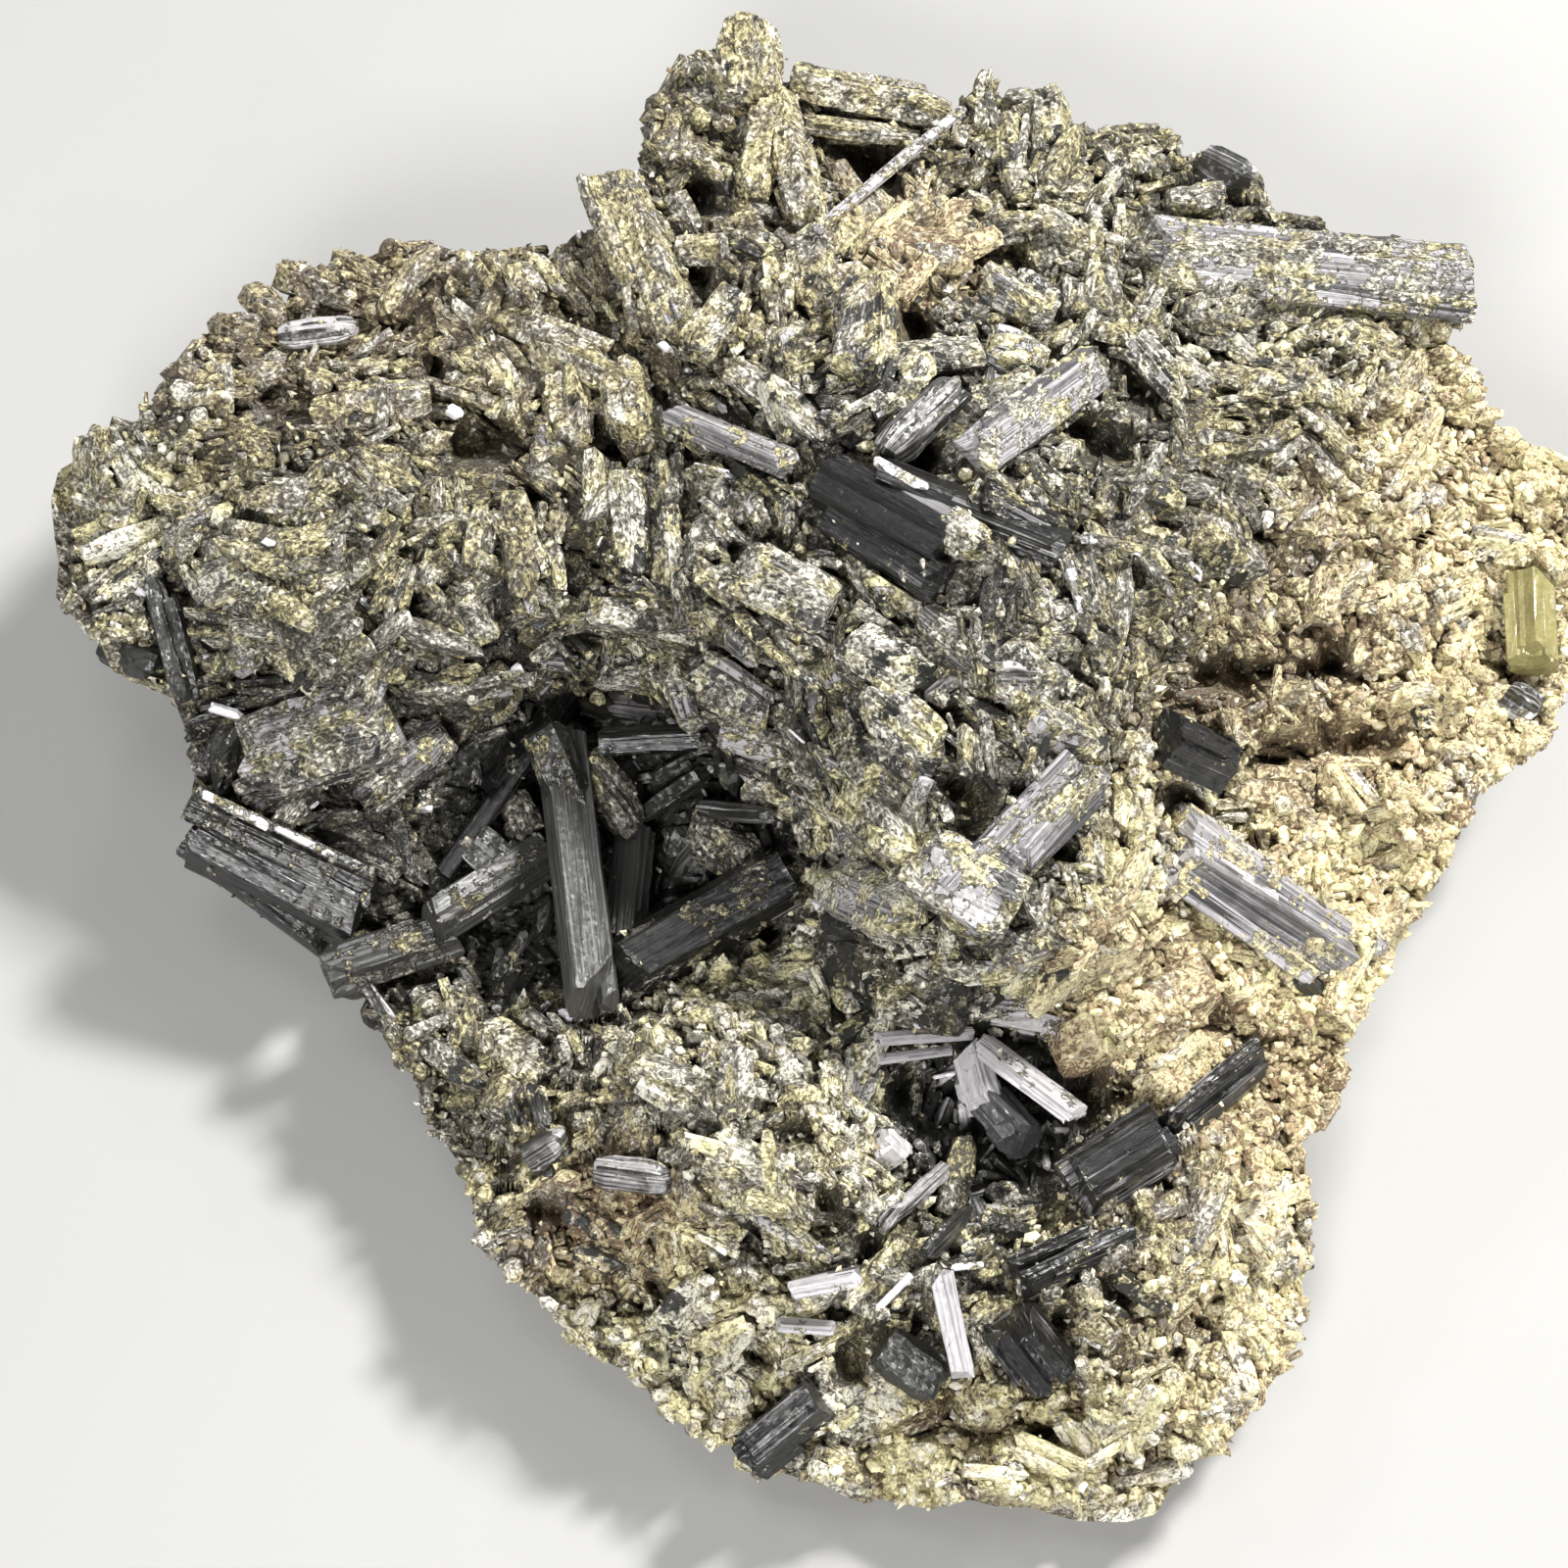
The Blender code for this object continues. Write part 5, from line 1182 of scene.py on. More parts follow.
@dataclass(frozen=True)
class Crystals:
    """Many prismatic crystals at once, each with its own middle, direction, size and tone.

    A crystal is a six-cornered outline carried along its axis. Each end is a roof: the outline's
    points fall back from the tip by steep times max(t, -even t), where t is their distance from
    the roof's ridge and even lies between 0 and 1.
    """

    middle: Array
    along: Array
    facing: Array
    length: Array
    width: Array
    depth: Array
    tones: Array
    steep: Array
    root: Array
    outward: Array
    seed: int
    corner_turns: tuple[float, ...] = (0.0, 52.0, 128.0, 180.0, 232.0, 308.0)
    corner_stray: float = 0.20
    groove_depth: float = 0.10
    groove_power: float = 1.5
    even_swell: float = 0.03
    taper: Pair = (0.05, 0.35)
    taper_reach: float = 0.12
    roof_most: float = 0.45
    lump_sizes: Pair = (1.5, 0.7)
    lump_share: float = 0.6
    least_girth: float = 0.3
    pattern_shift: float = 90.0
    coated_reach: float = 0.22
    bare_reach: float = 0.5
    pit_reach: float = 0.85
    near_end: float = 0.8

    @property
    def half(self) -> Array:
        """The way from each crystal's middle to its end."""
        return self.along * self.length[:, None] / 2

    def outline(self, cut: Cut, draw: Generator) -> Array:
        """Works out the outlines round the axis: six uneven corners, bevelled, with grooved sides.

        Each corner becomes two points a bevel's share along its two sides. Each side gets groove
        points between them, moved in towards the axis by up to groove_depth.

        Args:
            cut: Its bevel and its grooves.
            draw: Seeded source of the small differences.

        Returns:
            Points with x and y last, in millimetres, one outline for each crystal.
        """
        count = len(self.middle)
        turns = np.radians(self.corner_turns)
        corners = np.stack((np.cos(turns), np.sin(turns) / math.sin(turns[1])), axis=-1) / 2
        scale = 1 + self.corner_stray * draw.uniform(-1, 1, (count, 6, 1))
        corners = corners * scale * np.stack((self.width, self.depth), axis=-1)[:, None]
        if cut.bevel <= 0:
            return corners
        first, second = (
            corners + cut.bevel * (np.roll(corners, way, axis=1) - corners) for way in (1, -1)
        )
        rows = [first, second]
        for index in range(cut.grooves):
            share = (index + 1) / (cut.grooves + 1)
            point = second + share * (np.roll(first, -1, axis=1) - second)
            deep = self.groove_depth * draw.random((count, 6, 1)) ** self.groove_power
            rows.append(point * (1 - deep))
        return np.stack(rows, axis=2).reshape(count, -1, 2)

    def shell(self, cut: Cut) -> Shell:
        """Works out the surfaces of all the crystals: tip, rings of the outline, tip.

        A ring near an end is tapered, the more the nearer, where the swell is over even_swell.

        Args:
            cut: How finely they are cut.

        Returns:
            The shell, with UV places in millimetres round and along each crystal.
        """
        draw = np.random.default_rng(self.seed)
        outline = self.outline(cut, draw)
        count, around = outline.shape[:2]
        level = np.array(cut.levels)
        wobble = 1 + cut.swell * draw.uniform(-1, 1, (count, len(level), around, 1))
        taper = draw.uniform(*self.taper, (count, 2)) * (cut.swell > self.even_swell)
        near = np.clip(1 - np.stack((level, 1 - level)) / self.taper_reach, 0.0, 1.0)
        flat = outline[:, None] * (wobble * (1 - taper @ near)[:, :, None, None])
        turn = draw.uniform(0, 2 * math.pi, (count, 2))[..., None]
        even = draw.uniform(0, 1, (count, 2))[..., None]
        ends = []
        for end in (0, 1):
            ring = flat[:, -end]
            across = ring[..., 0] * np.cos(turn[:, end]) + ring[..., 1] * np.sin(turn[:, end])
            roof = np.maximum(across, -even[:, end] * across) * self.steep[:, end, None]
            ends.append(np.minimum(roof, self.roof_most * self.length[:, None]))
        half = self.length[:, None] / 2
        low, high = ends[0] - half, half - ends[1]
        rise = low[:, None] + (high - low)[:, None] * level[None, :, None]
        local = np.concatenate((flat, rise[..., None]), axis=-1).reshape(count, -1, 3)
        tip = np.zeros((count, 1, 3))
        tip[:, 0, 2] = self.length / 2
        local = np.concatenate((-tip, local, tip), axis=1)
        side = unit(np.cross(self.facing, self.along))
        axes = np.stack((side, np.cross(self.along, side), self.along), axis=1)
        points = self.middle[:, None] + local @ axes
        if cut.rough > 0:
            girth = np.linalg.norm(local[..., :2], axis=-1, keepdims=True)
            away = local / np.maximum(girth, self.least_girth)
            away[..., 2] = 0.0
            large, small = (lumps(points, s, self.seed + k) for k, s in enumerate(self.lump_sizes))
            height = large + self.lump_share * small
            points = points + cut.rough * height[..., None] * (away @ axes)
        tones = np.repeat(self.tones, points.shape[1], axis=0)
        # Painted shade and light: the light tone drops where a crystal lies deep among the others
        # and rises where it stands out
        height = ((points - self.root[:, None]) * self.outward[:, None]).sum(-1)
        tones[:, 2] = painted_gap_shading(tones[:, 2], height.ravel())
        return self.wrap(points, local, tones, len(level), draw)

    def wrap(self, points: Array, local: Array, tones: Array, rings: int, draw: Generator) -> Shell:
        """Joins the points of crystals into faces and lays their UV places.

        Args:
            points: Points of each crystal: tip, rings, tip.
            local: The same points along the crystal's own axes.
            tones: Four values for each point.
            rings: Number of rings.
            draw: Seeded source of the shifts of their patterns.

        Returns:
            The shell.
        """
        count, each = points.shape[:2]
        around = (each - 2) // rings
        number = closed(1 + np.arange(rings * around).reshape(rings, around))
        quads = np.roll(grid_faces(number)[:, ::-1], 1, axis=1)
        caps = np.concatenate((fan(0, number[0], True), fan(each - 1, number[-1], False)))
        ring = local[:, 1 : 1 + around]
        girth = np.linalg.norm(np.roll(ring, -1, axis=1) - ring, axis=-1)
        run = np.concatenate((np.zeros((count, 1)), np.cumsum(girth, axis=1)), axis=1)
        shift = draw.uniform(0, self.pattern_shift, (count, 1, 1, 2))
        left, right = (np.tile(part, (1, rings - 1)) for part in (run[:, :-1], run[:, 1:]))
        across = np.stack((left, right, right, left), axis=-1)
        side_seams = np.stack((across, local[:, quads, 2]), axis=-1) + shift
        cap_seams = local[:, caps][..., :2] + shift
        faces = [repeated(pattern, count, each) for pattern in (quads, caps)]
        return Shell(points.reshape(-1, 3), tones, faces, [side_seams, cap_seams])

    def kept(self, keep: Array) -> "Crystals":
        """The crystals that a mask keeps."""
        arrays = {key: value for key, value in vars(self).items() if isinstance(value, Array)}
        return replace(self, **{key: value[keep] for key, value in arrays.items()})

    def clear_of(self, prisms: Array, margin: float) -> "Crystals":
        """Keeps the crystals that, seen from the eye, leave the larger prisms and the pits in view.

        A crystal goes where its start, middle or end lies nearer to a prism's axis than a share
        of the prism's width and a margin, measured on the viewing plane. A coated prism keeps
        only its middle free.

        Args:
            prisms: Table of the larger prisms.
            margin: Free space beside them.

        Returns:
            The crystals that stay.
        """
        near = self.near_end * self.half
        spots = np.stack((self.middle - near, self.middle, self.middle + near), axis=1)
        place = np.stack(VIEW.place(spots), axis=-1)
        keep = np.ones(len(place), dtype=bool)
        for prism in prisms:
            start, run = prism[0:2], prism[3:5] - prism[0:2]
            share = np.clip((place - start) @ run / (run @ run), 0.0, 1.0)
            apart = np.linalg.norm(place - start - share[..., None] * run, axis=-1)
            width, cover = prism[6:8]
            reach = self.coated_reach if cover > COATED_FROM else self.bare_reach
            keep &= (apart > reach * width + margin).all(axis=1)
        return self.kept(keep & ~in_pits(place, self.pit_reach).any(axis=1))

    def inside(self, box: Array) -> "Crystals":
        """Keeps the crystals whose two ends, with half their width round them, lie in a box.

        Args:
            box: Its lowest and highest corner.

        Returns:
            The crystals that stay.
        """
        ends = np.stack((self.middle - self.half, self.middle + self.half))
        wide = self.width[:, None] / 2
        fits = (ends.min(axis=0) - wide >= box[0]) & (ends.max(axis=0) + wide <= box[1])
        return self.kept(fits.all(axis=-1))

    def over(self, rock: Rock, share: float) -> "Crystals":
        """Keeps the crystals with both ends inside a share of the rim's radius, as seen.

        Args:
            rock: The rock that they grow on.
            share: Share of its radius.

        Returns:
            The crystals that stay.
        """
        across, up = VIEW.place(np.stack((self.middle - self.half, self.middle + self.half)))
        right, upward = across - rock.middle[0], up - rock.middle[1]
        radius = rock.rim_radius(np.arctan2(upward, right) % (2 * math.pi))
        return self.kept((np.hypot(right, upward) <= share * radius).all(axis=0))


@dataclass(frozen=True)
class Growth:
    """A kind of crystal that grows all over the rock.

    length, width and flatness are ranges; lean is the range of the angle above the skin, in
    degrees, and sunk the share of the length that lies behind the point where it starts. Each
    place carries a bundle of nearly parallel crystals, side by side. level goes from 0 on the
    ground to 1 on the outer surface, and margin is the free space round larger prisms.
    """

    count: int
    length: Pair
    width: Pair
    flatness: Pair
    lean: Pair
    sunk: float
    seed: int
    power: float
    bundle: int
    level: float
    margin: float
    cut: Cut
    face: Bare = Bare.COATED
    dusty: bool = False
    run_stray: float = 0.6
    bundle_stray: float = 0.07
    lean_stray: float = 3.0
    short_power: float = 1.6
    least_thickness: float = 0.7
    more_thickness: float = 0.6
    offset: Pair = (-0.35, 0.1)
    spacing: float = 0.85
    tone_stray: float = 0.12
    roll_stray: float = 0.35
    steepness: Pair = (0.2, 2.4)

    def crystals(self, skin: Skin, box: Array) -> Crystals:
        """Draws the crystals at places of the skin, thickest where the zones grow most.

        The direction is cos lean T + sin lean N, where N is the skin's normal and T lies in the
        skin at the zone's run, turned by a random angle within its spread.

        Args:
            skin: Places to grow on.
            box: Lowest and highest corner that the crystals keep to.

        Returns:
            The crystals.
        """
        draw = np.random.default_rng(self.seed)
        across, up = VIEW.place(skin.points)
        level = skin.points + self.level * (skin.outer - skin.points)
        seeds = self.count // self.bundle
        pick = skin.pick(seeds, Tone.GROWTH, self.power, draw).repeat(self.bundle)
        count = len(pick)
        normal = skin.normals[pick]
        run, spread = zone_runs(across[pick], up[pick])
        angle = run + spread * draw.normal(0, self.run_stray, seeds).repeat(self.bundle)
        angle = angle + draw.normal(0, self.bundle_stray, count)
        flat = np.stack((np.cos(angle), np.sin(angle), np.zeros(count)), axis=-1)
        way = np.where(draw.random((seeds, 1)) < 0.5, 1.0, -1.0)
        flat = flat * way.repeat(self.bundle, axis=0)
        tangent = unit(flat - (flat * normal).sum(-1, keepdims=True) * normal)
        lean = draw.uniform(*self.lean, seeds).repeat(self.bundle)
        lean = np.radians(lean + draw.normal(0, self.lean_stray, count))[:, None]
        along = unit(np.cos(lean) * tangent + np.sin(lean) * normal)
        skew = draw.random(count) ** self.short_power
        length = self.length[0] + (self.length[1] - self.length[0]) * skew
        thickness = self.least_thickness + self.more_thickness * skew
        width = draw.uniform(*self.width, count) * thickness
        depth = width * draw.uniform(*self.flatness, count)
        middle = level[pick] + along * (length * (0.5 - self.sunk))[:, None]
        middle = middle + normal * (draw.uniform(*self.offset, count) * depth)[:, None]
        order = np.arange(count) % self.bundle - (self.bundle - 1) / 2
        beside = order * width * self.spacing
        middle = middle + unit(np.cross(normal, along)) * beside[:, None]
        strays = {Tone.COVER: self.tone_stray, Tone.PALENESS_AND_PAINTED_LIGHT: self.tone_stray}
        tones = own_tones(skin.tones[pick], draw, strays)
        facing = unit(normal + self.roll_stray * draw.normal(size=(count, 3)))
        steep = draw.uniform(*self.steepness, (count, 2))
        root = skin.outer[pick]
        sizes = (length, width, depth)
        made = Crystals(middle, along, facing, *sizes, tones, steep, root, normal, self.seed + 1)
        return made.inside(box)


@dataclass(frozen=True)
class LargeCrystals:
    """The placed crystals, each grown as a bundle of parallel striated prisms.

    spread, steepening and stray have a value for bare crystals and one for coated ones.
    """

    rock: Rock
    companions: int = 6
    set_companions: int = 4
    chip_companions: int = 1
    bare_cut: Cut = Cut(4, 0.05, (0.0, 0.03, 0.15, 0.3, 0.45, 0.6, 0.75, 0.9, 0.97, 1.0), 0.025)
    coated_cut: Cut = Cut(4, 0.05, tuple(np.linspace(0.0, 1.0, 21)), 0.035, 0.13)
    set_cut: Cut = Cut(2, 0.05, (0.0, 0.06, 0.2, 0.4, 0.6, 0.8, 0.94, 1.0), 0.035, 0.15)
    chip_cut: Cut = Cut(0, 0.1)
    seed: int = 71
    usual_depth: float = 0.8
    set_sink: float = 0.9
    fat_from: float = 3.5
    fat_sink: float = 0.25
    thinness: Pair = (0.3, 0.62)
    shares: Pair = (0.45, 0.97)
    spread: Pair = (0.52, 0.66)
    steepening: Pair = (1.0, 1.7)
    tip_change: Pair = (0.6, 1.6)
    stray: Pair = (0.015, 0.07)
    painted_gleam_stray: float = 0.2

    def bundle(self, rows: Rows, seed: int, companions: int, sink: float = 0.0) -> Crystals:
        """Grows each prism with thinner companions along its faces.

        A companion's middle is the prism's middle moved round the outline by cos and sin of its
        own angle times what its thinness leaves free, and its length is a share of the prism's,
        held to one end or the other.

        Args:
            rows: Prisms, as in Large.
            seed: Seed of the small differences.
            companions: Companions of each.
            sink: How far the coated ones lie deeper, the fat ones more.

        Returns:
            All the prisms and their companions.
        """
        draw = np.random.default_rng(seed)
        table = prism_table(rows)
        ends = table[:, :6].reshape(-1, 2, 3)
        width, cover, depth, roll, painted_gleam = table[:, 6:11].T
        depth = np.where(depth > 0, depth, self.usual_depth * width)[:, None]
        roll = np.radians(roll)[:, None]
        coated = cover > COATED_FROM
        kind = coated.astype(int)
        lifted = self.rock.smooth_height(ends[..., 0], ends[..., 1]) + ends[..., 2]
        fat = np.maximum(0.0, width - self.fat_from)
        lifted = lifted - (sink * coated * (1 + self.fat_sink * fat))[:, None]
        start, end = np.moveaxis(VIEW.point(ends[..., 0], ends[..., 1], lifted), 1, 0)
        middle = (start + end) / 2
        along = unit(end - start)
        side = unit(np.cross(unit(VIEW.eye - middle), along))
        outward = np.cross(along, side)
        side, front = (
            side * np.cos(roll) + outward * np.sin(roll),
            outward * np.cos(roll) - side * np.sin(roll),
        )
        width = width[:, None]
        length = np.linalg.norm(end - start, axis=-1)[:, None]
        across, up = VIEW.place(middle)
        root = VIEW.point(across, up, self.rock.smooth_height(across, up))
        tones = point_tones(middle)
        # The fourth tone is each prism's share of painted reflection on its bare faces
        tones[:, 0], tones[:, 3] = cover, painted_gleam
        shape = (len(rows), companions)
        thin = draw.uniform(*self.thinness, shape)
        angle = draw.uniform(0, 2 * math.pi, shape)
        free = (1 - thin) * np.take(self.spread, kind)[:, None]
        offset = (np.cos(angle) * free * width)[..., None] * side[:, None]
        offset = offset + (np.sin(angle) * free * depth)[..., None] * front[:, None]
        share = draw.uniform(*self.shares, shape)
        slide = draw.choice((-0.5, 0.5), shape) * (1 - share)
        spot = middle[:, None] + offset + (slide * length)[..., None] * along[:, None]
        owner = np.repeat(np.arange(len(rows)), companions)
        more = tones[owner]
        # Each companion's share of painted reflection strays from its prism's
        more[:, 3] = np.clip(more[:, 3] + draw.normal(0, self.painted_gleam_stray, len(more)), 0, 1)
        steep = table[:, 11:] * 2 / width * np.take(self.steepening, kind)[:, None]
        stray = draw.normal(0, 1, (len(more), 3)) * np.take(self.stray, kind)[owner, None]
        more_steep = steep[owner] * draw.uniform(*self.tip_change, (len(more), 2))
        pairs = (
            (middle, spot.reshape(-1, 3)),
            (along, unit(along[owner] + stray)),
            (front, front[owner]),
            (length[:, 0], (share * length).ravel()),
            (width[:, 0], (thin * width).ravel()),
            (depth[:, 0], (thin * depth).ravel()),
            (tones, more),
            (steep, more_steep),
            (root, root[owner]),
            (outward, outward[owner]),
        )
        return Crystals(*map(np.concatenate, pairs), seed + 1)

    def build(self, finishes: dict[Bare, Material]) -> list[Skin]:
        """Builds a piece for each named solid and one for the crystals grown on the rock.

        Args:
            finishes: Material for each kind of bare face.

        Returns:
            The surfaces on which loose grains can settle.
        """
        skins = []
        for index, (name, large) in enumerate(CRYSTALS.items()):
            bundle = self.bundle(large.prisms, self.seed + 10 * index, self.companions)
            coated = large.face is Bare.COATED
            shell = bundle.shell(self.coated_cut if coated else self.bare_cut)
            skins.append(shell.skin())
            piece = shell.build(f"{name}_crystal", finishes[large.face])
            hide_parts(name)
        grown = self.bundle(SET_CRYSTALS, self.seed + 5, self.set_companions, self.set_sink)
        shell = grown.shell(self.set_cut)
        skins.append(shell.skin())
        piece = shell.build("set_crystals", finishes[Bare.COATED])
        # Painted glints: small crystals dressed near white
        chips = self.bundle(PAINTED_GLINT_CHIPS, self.seed + 6, self.chip_companions)
        piece = chips.shell(self.chip_cut).build("bright_chips", finishes[Bare.PAINTED_GLINT])
        return skins


@dataclass(frozen=True)
class Grains:
    """Small grains: eight-sided crystals, each stretched and turned its own way.

    A grain's six points lie at plus and minus half its three sizes along its own axes, moved a
    little at random.
    """

    count: int
    size: Pair
    lift: float
    seed: int
    power: float
    stray: float = 0.35
    least_lift: float = -0.1
    least_stretch: tuple[float, ...] = (0.9, 0.5, 0.4)
    most_stretch: tuple[float, ...] = (1.6, 1.0, 0.8)
    small_power: float = 1.8
    edge: float = 0.6
    corner_stray: float = 0.12
    strays: tuple[tuple[Tone, float], ...] = ((Tone.WARMTH, 0.18), (Tone.PALENESS_AND_PAINTED_LIGHT, 0.16))

    def shell(self, skin: Skin, box: Array) -> Shell:
        """Scatters the grains over the skin, thickest where the zones have most.

        Args:
            skin: Places to lie on.
            box: Lowest and highest corner that the grains keep to.

        Returns:
            The shell of all the grains.
        """
        draw = np.random.default_rng(self.seed)
        pick = skin.pick(self.count, Tone.GRAINS, self.power, draw)
        least, most = self.size
        size = least + (most - least) * draw.random(self.count) ** self.small_power
        spots = skin.points[pick] + draw.uniform(-self.stray, self.stray, (self.count, 3))
        lift = size * draw.uniform(self.least_lift, self.lift, self.count)
        spots = spots + skin.facing[pick] * lift[:, None]
        inside = ((spots > box[0] + self.edge) & (spots < box[1] - self.edge)).all(-1)
        spots, size, pick = spots[inside], size[inside, None], pick[inside]
        count = len(spots)
        axes = random_axes(count, draw)
        stretch = draw.uniform(self.least_stretch, self.most_stretch, (count, 3))
        arms = axes * (size * stretch / 2)[..., None]
        corners = np.concatenate((arms, -arms), axis=1)
        stray = self.corner_stray * size[..., None] * draw.normal(size=(count, 6, 3))
        points = spots[:, None] + (corners + stray)
        pattern = np.array(
            ((0, 1, 2), (1, 3, 2), (3, 4, 2), (4, 0, 2), (1, 0, 5), (3, 1, 5), (4, 3, 5), (0, 4, 5))
        )
        tones = own_tones(skin.tones[pick], draw, dict(self.strays))
        faces = [repeated(pattern, count, 6)]
        return Shell(points.reshape(-1, 3), np.repeat(tones, 6, axis=0), faces)


@dataclass(frozen=True)
class Knobs:
    """Lumps of crust: rough closed balls, drawn out and turned their own way.

    A point at angles a round and b down from the pole lies at size (sin b cos a, sin b sin a,
    cos b), each radius moved at random.
    """

    count: int
    size: Pair
    seed: int
    power: float
    sunk: float = 0.25
    around: int = 6
    rings: int = 3
    rough: float = 0.19
    least_stretch: tuple[float, ...] = (0.9, 0.6, 0.5)
    most_stretch: tuple[float, ...] = (1.5, 1.0, 0.8)
    small_power: float = 2.2
    level_stray: float = 0.6
    more_cover: float = 0.36
    light_stray: float = 0.12

    def ball(self) -> Array:
        """Works out a ball of radius one.

        Returns:
            Points: its pole, its rings and its other pole.
        """
        down = np.linspace(0.0, math.pi, self.rings + 2)[1:-1]
        turn = 2 * math.pi * np.arange(self.around) / self.around
        fall, angle = np.meshgrid(down, turn, indexing="ij")
        round_it = (np.sin(fall) * np.cos(angle), np.sin(fall) * np.sin(angle), np.cos(fall))
        rings = np.stack(round_it, axis=-1).reshape(-1, 3)
        return np.concatenate((((0.0, 0.0, 1.0),), rings, ((0.0, 0.0, -1.0),)))

    def shell(self, skin: Skin, box: Array) -> Shell:
        """Sets the knobs in the skin, thickest where the zones have most grains.

        Args:
            skin: Places to grow on.
            box: Lowest and highest corner that the knobs keep to.

        Returns:
            The shell of all the knobs.
        """
        draw = np.random.default_rng(self.seed)
        pick = skin.pick(self.count, Tone.GRAINS, self.power, draw)
        least, most = self.size
        size = least + (most - least) * draw.random(self.count) ** self.small_power
        share = draw.uniform(0.0, self.level_stray, (self.count, 1))
        level = skin.points[pick] + share * (skin.outer - skin.points)[pick]
        lift = size * (0.5 - self.sunk) * draw.random(self.count)
        spots = level + skin.facing[pick] * lift[:, None]
        size = size[:, None]
        keep = ((spots - size > box[0]) & (spots + size < box[1])).all(-1)
        keep &= ~in_pits(np.stack(VIEW.place(spots), axis=-1), 1.0)
        spots, size, pick = spots[keep], size[keep], pick[keep]
        count = len(spots)
        ball = self.ball()
        each = len(ball)
        local = ball * (1 + self.rough * draw.uniform(-1, 1, (count, each, 1)))
        stretch = draw.uniform(self.least_stretch, self.most_stretch, (count, 3))
        local = local * (size * stretch / 2)[:, None]
        points = spots[:, None] + local @ random_axes(count, draw)
        number = closed(1 + np.arange(self.rings * self.around).reshape(self.rings, self.around))
        ends = np.concatenate((fan(0, number[0], False), fan(each - 1, number[-1], True)))
        own = own_tones(skin.tones[pick], draw, {})
        own[:, 0] = np.clip(own[:, 0] + draw.uniform(0.0, self.more_cover, count), 0, 1)
        own[:, 2] = np.clip(own[:, 2] + draw.normal(0, self.light_stray, count), 0, 1)
        tones = np.repeat(own, each, axis=0)
        # Painted shade and light: the light tone drops where a knob sits deep and rises where it
        # stands out
        rise = ((points - skin.outer[pick][:, None]) * skin.normals[pick][:, None]).sum(-1)
        tones[:, 2] = painted_gap_shading(tones[:, 2], rise.ravel())
        faces = [repeated(pattern, count, each) for pattern in (grid_faces(number), ends)]
        return Shell(points.reshape(-1, 3), tones, faces)


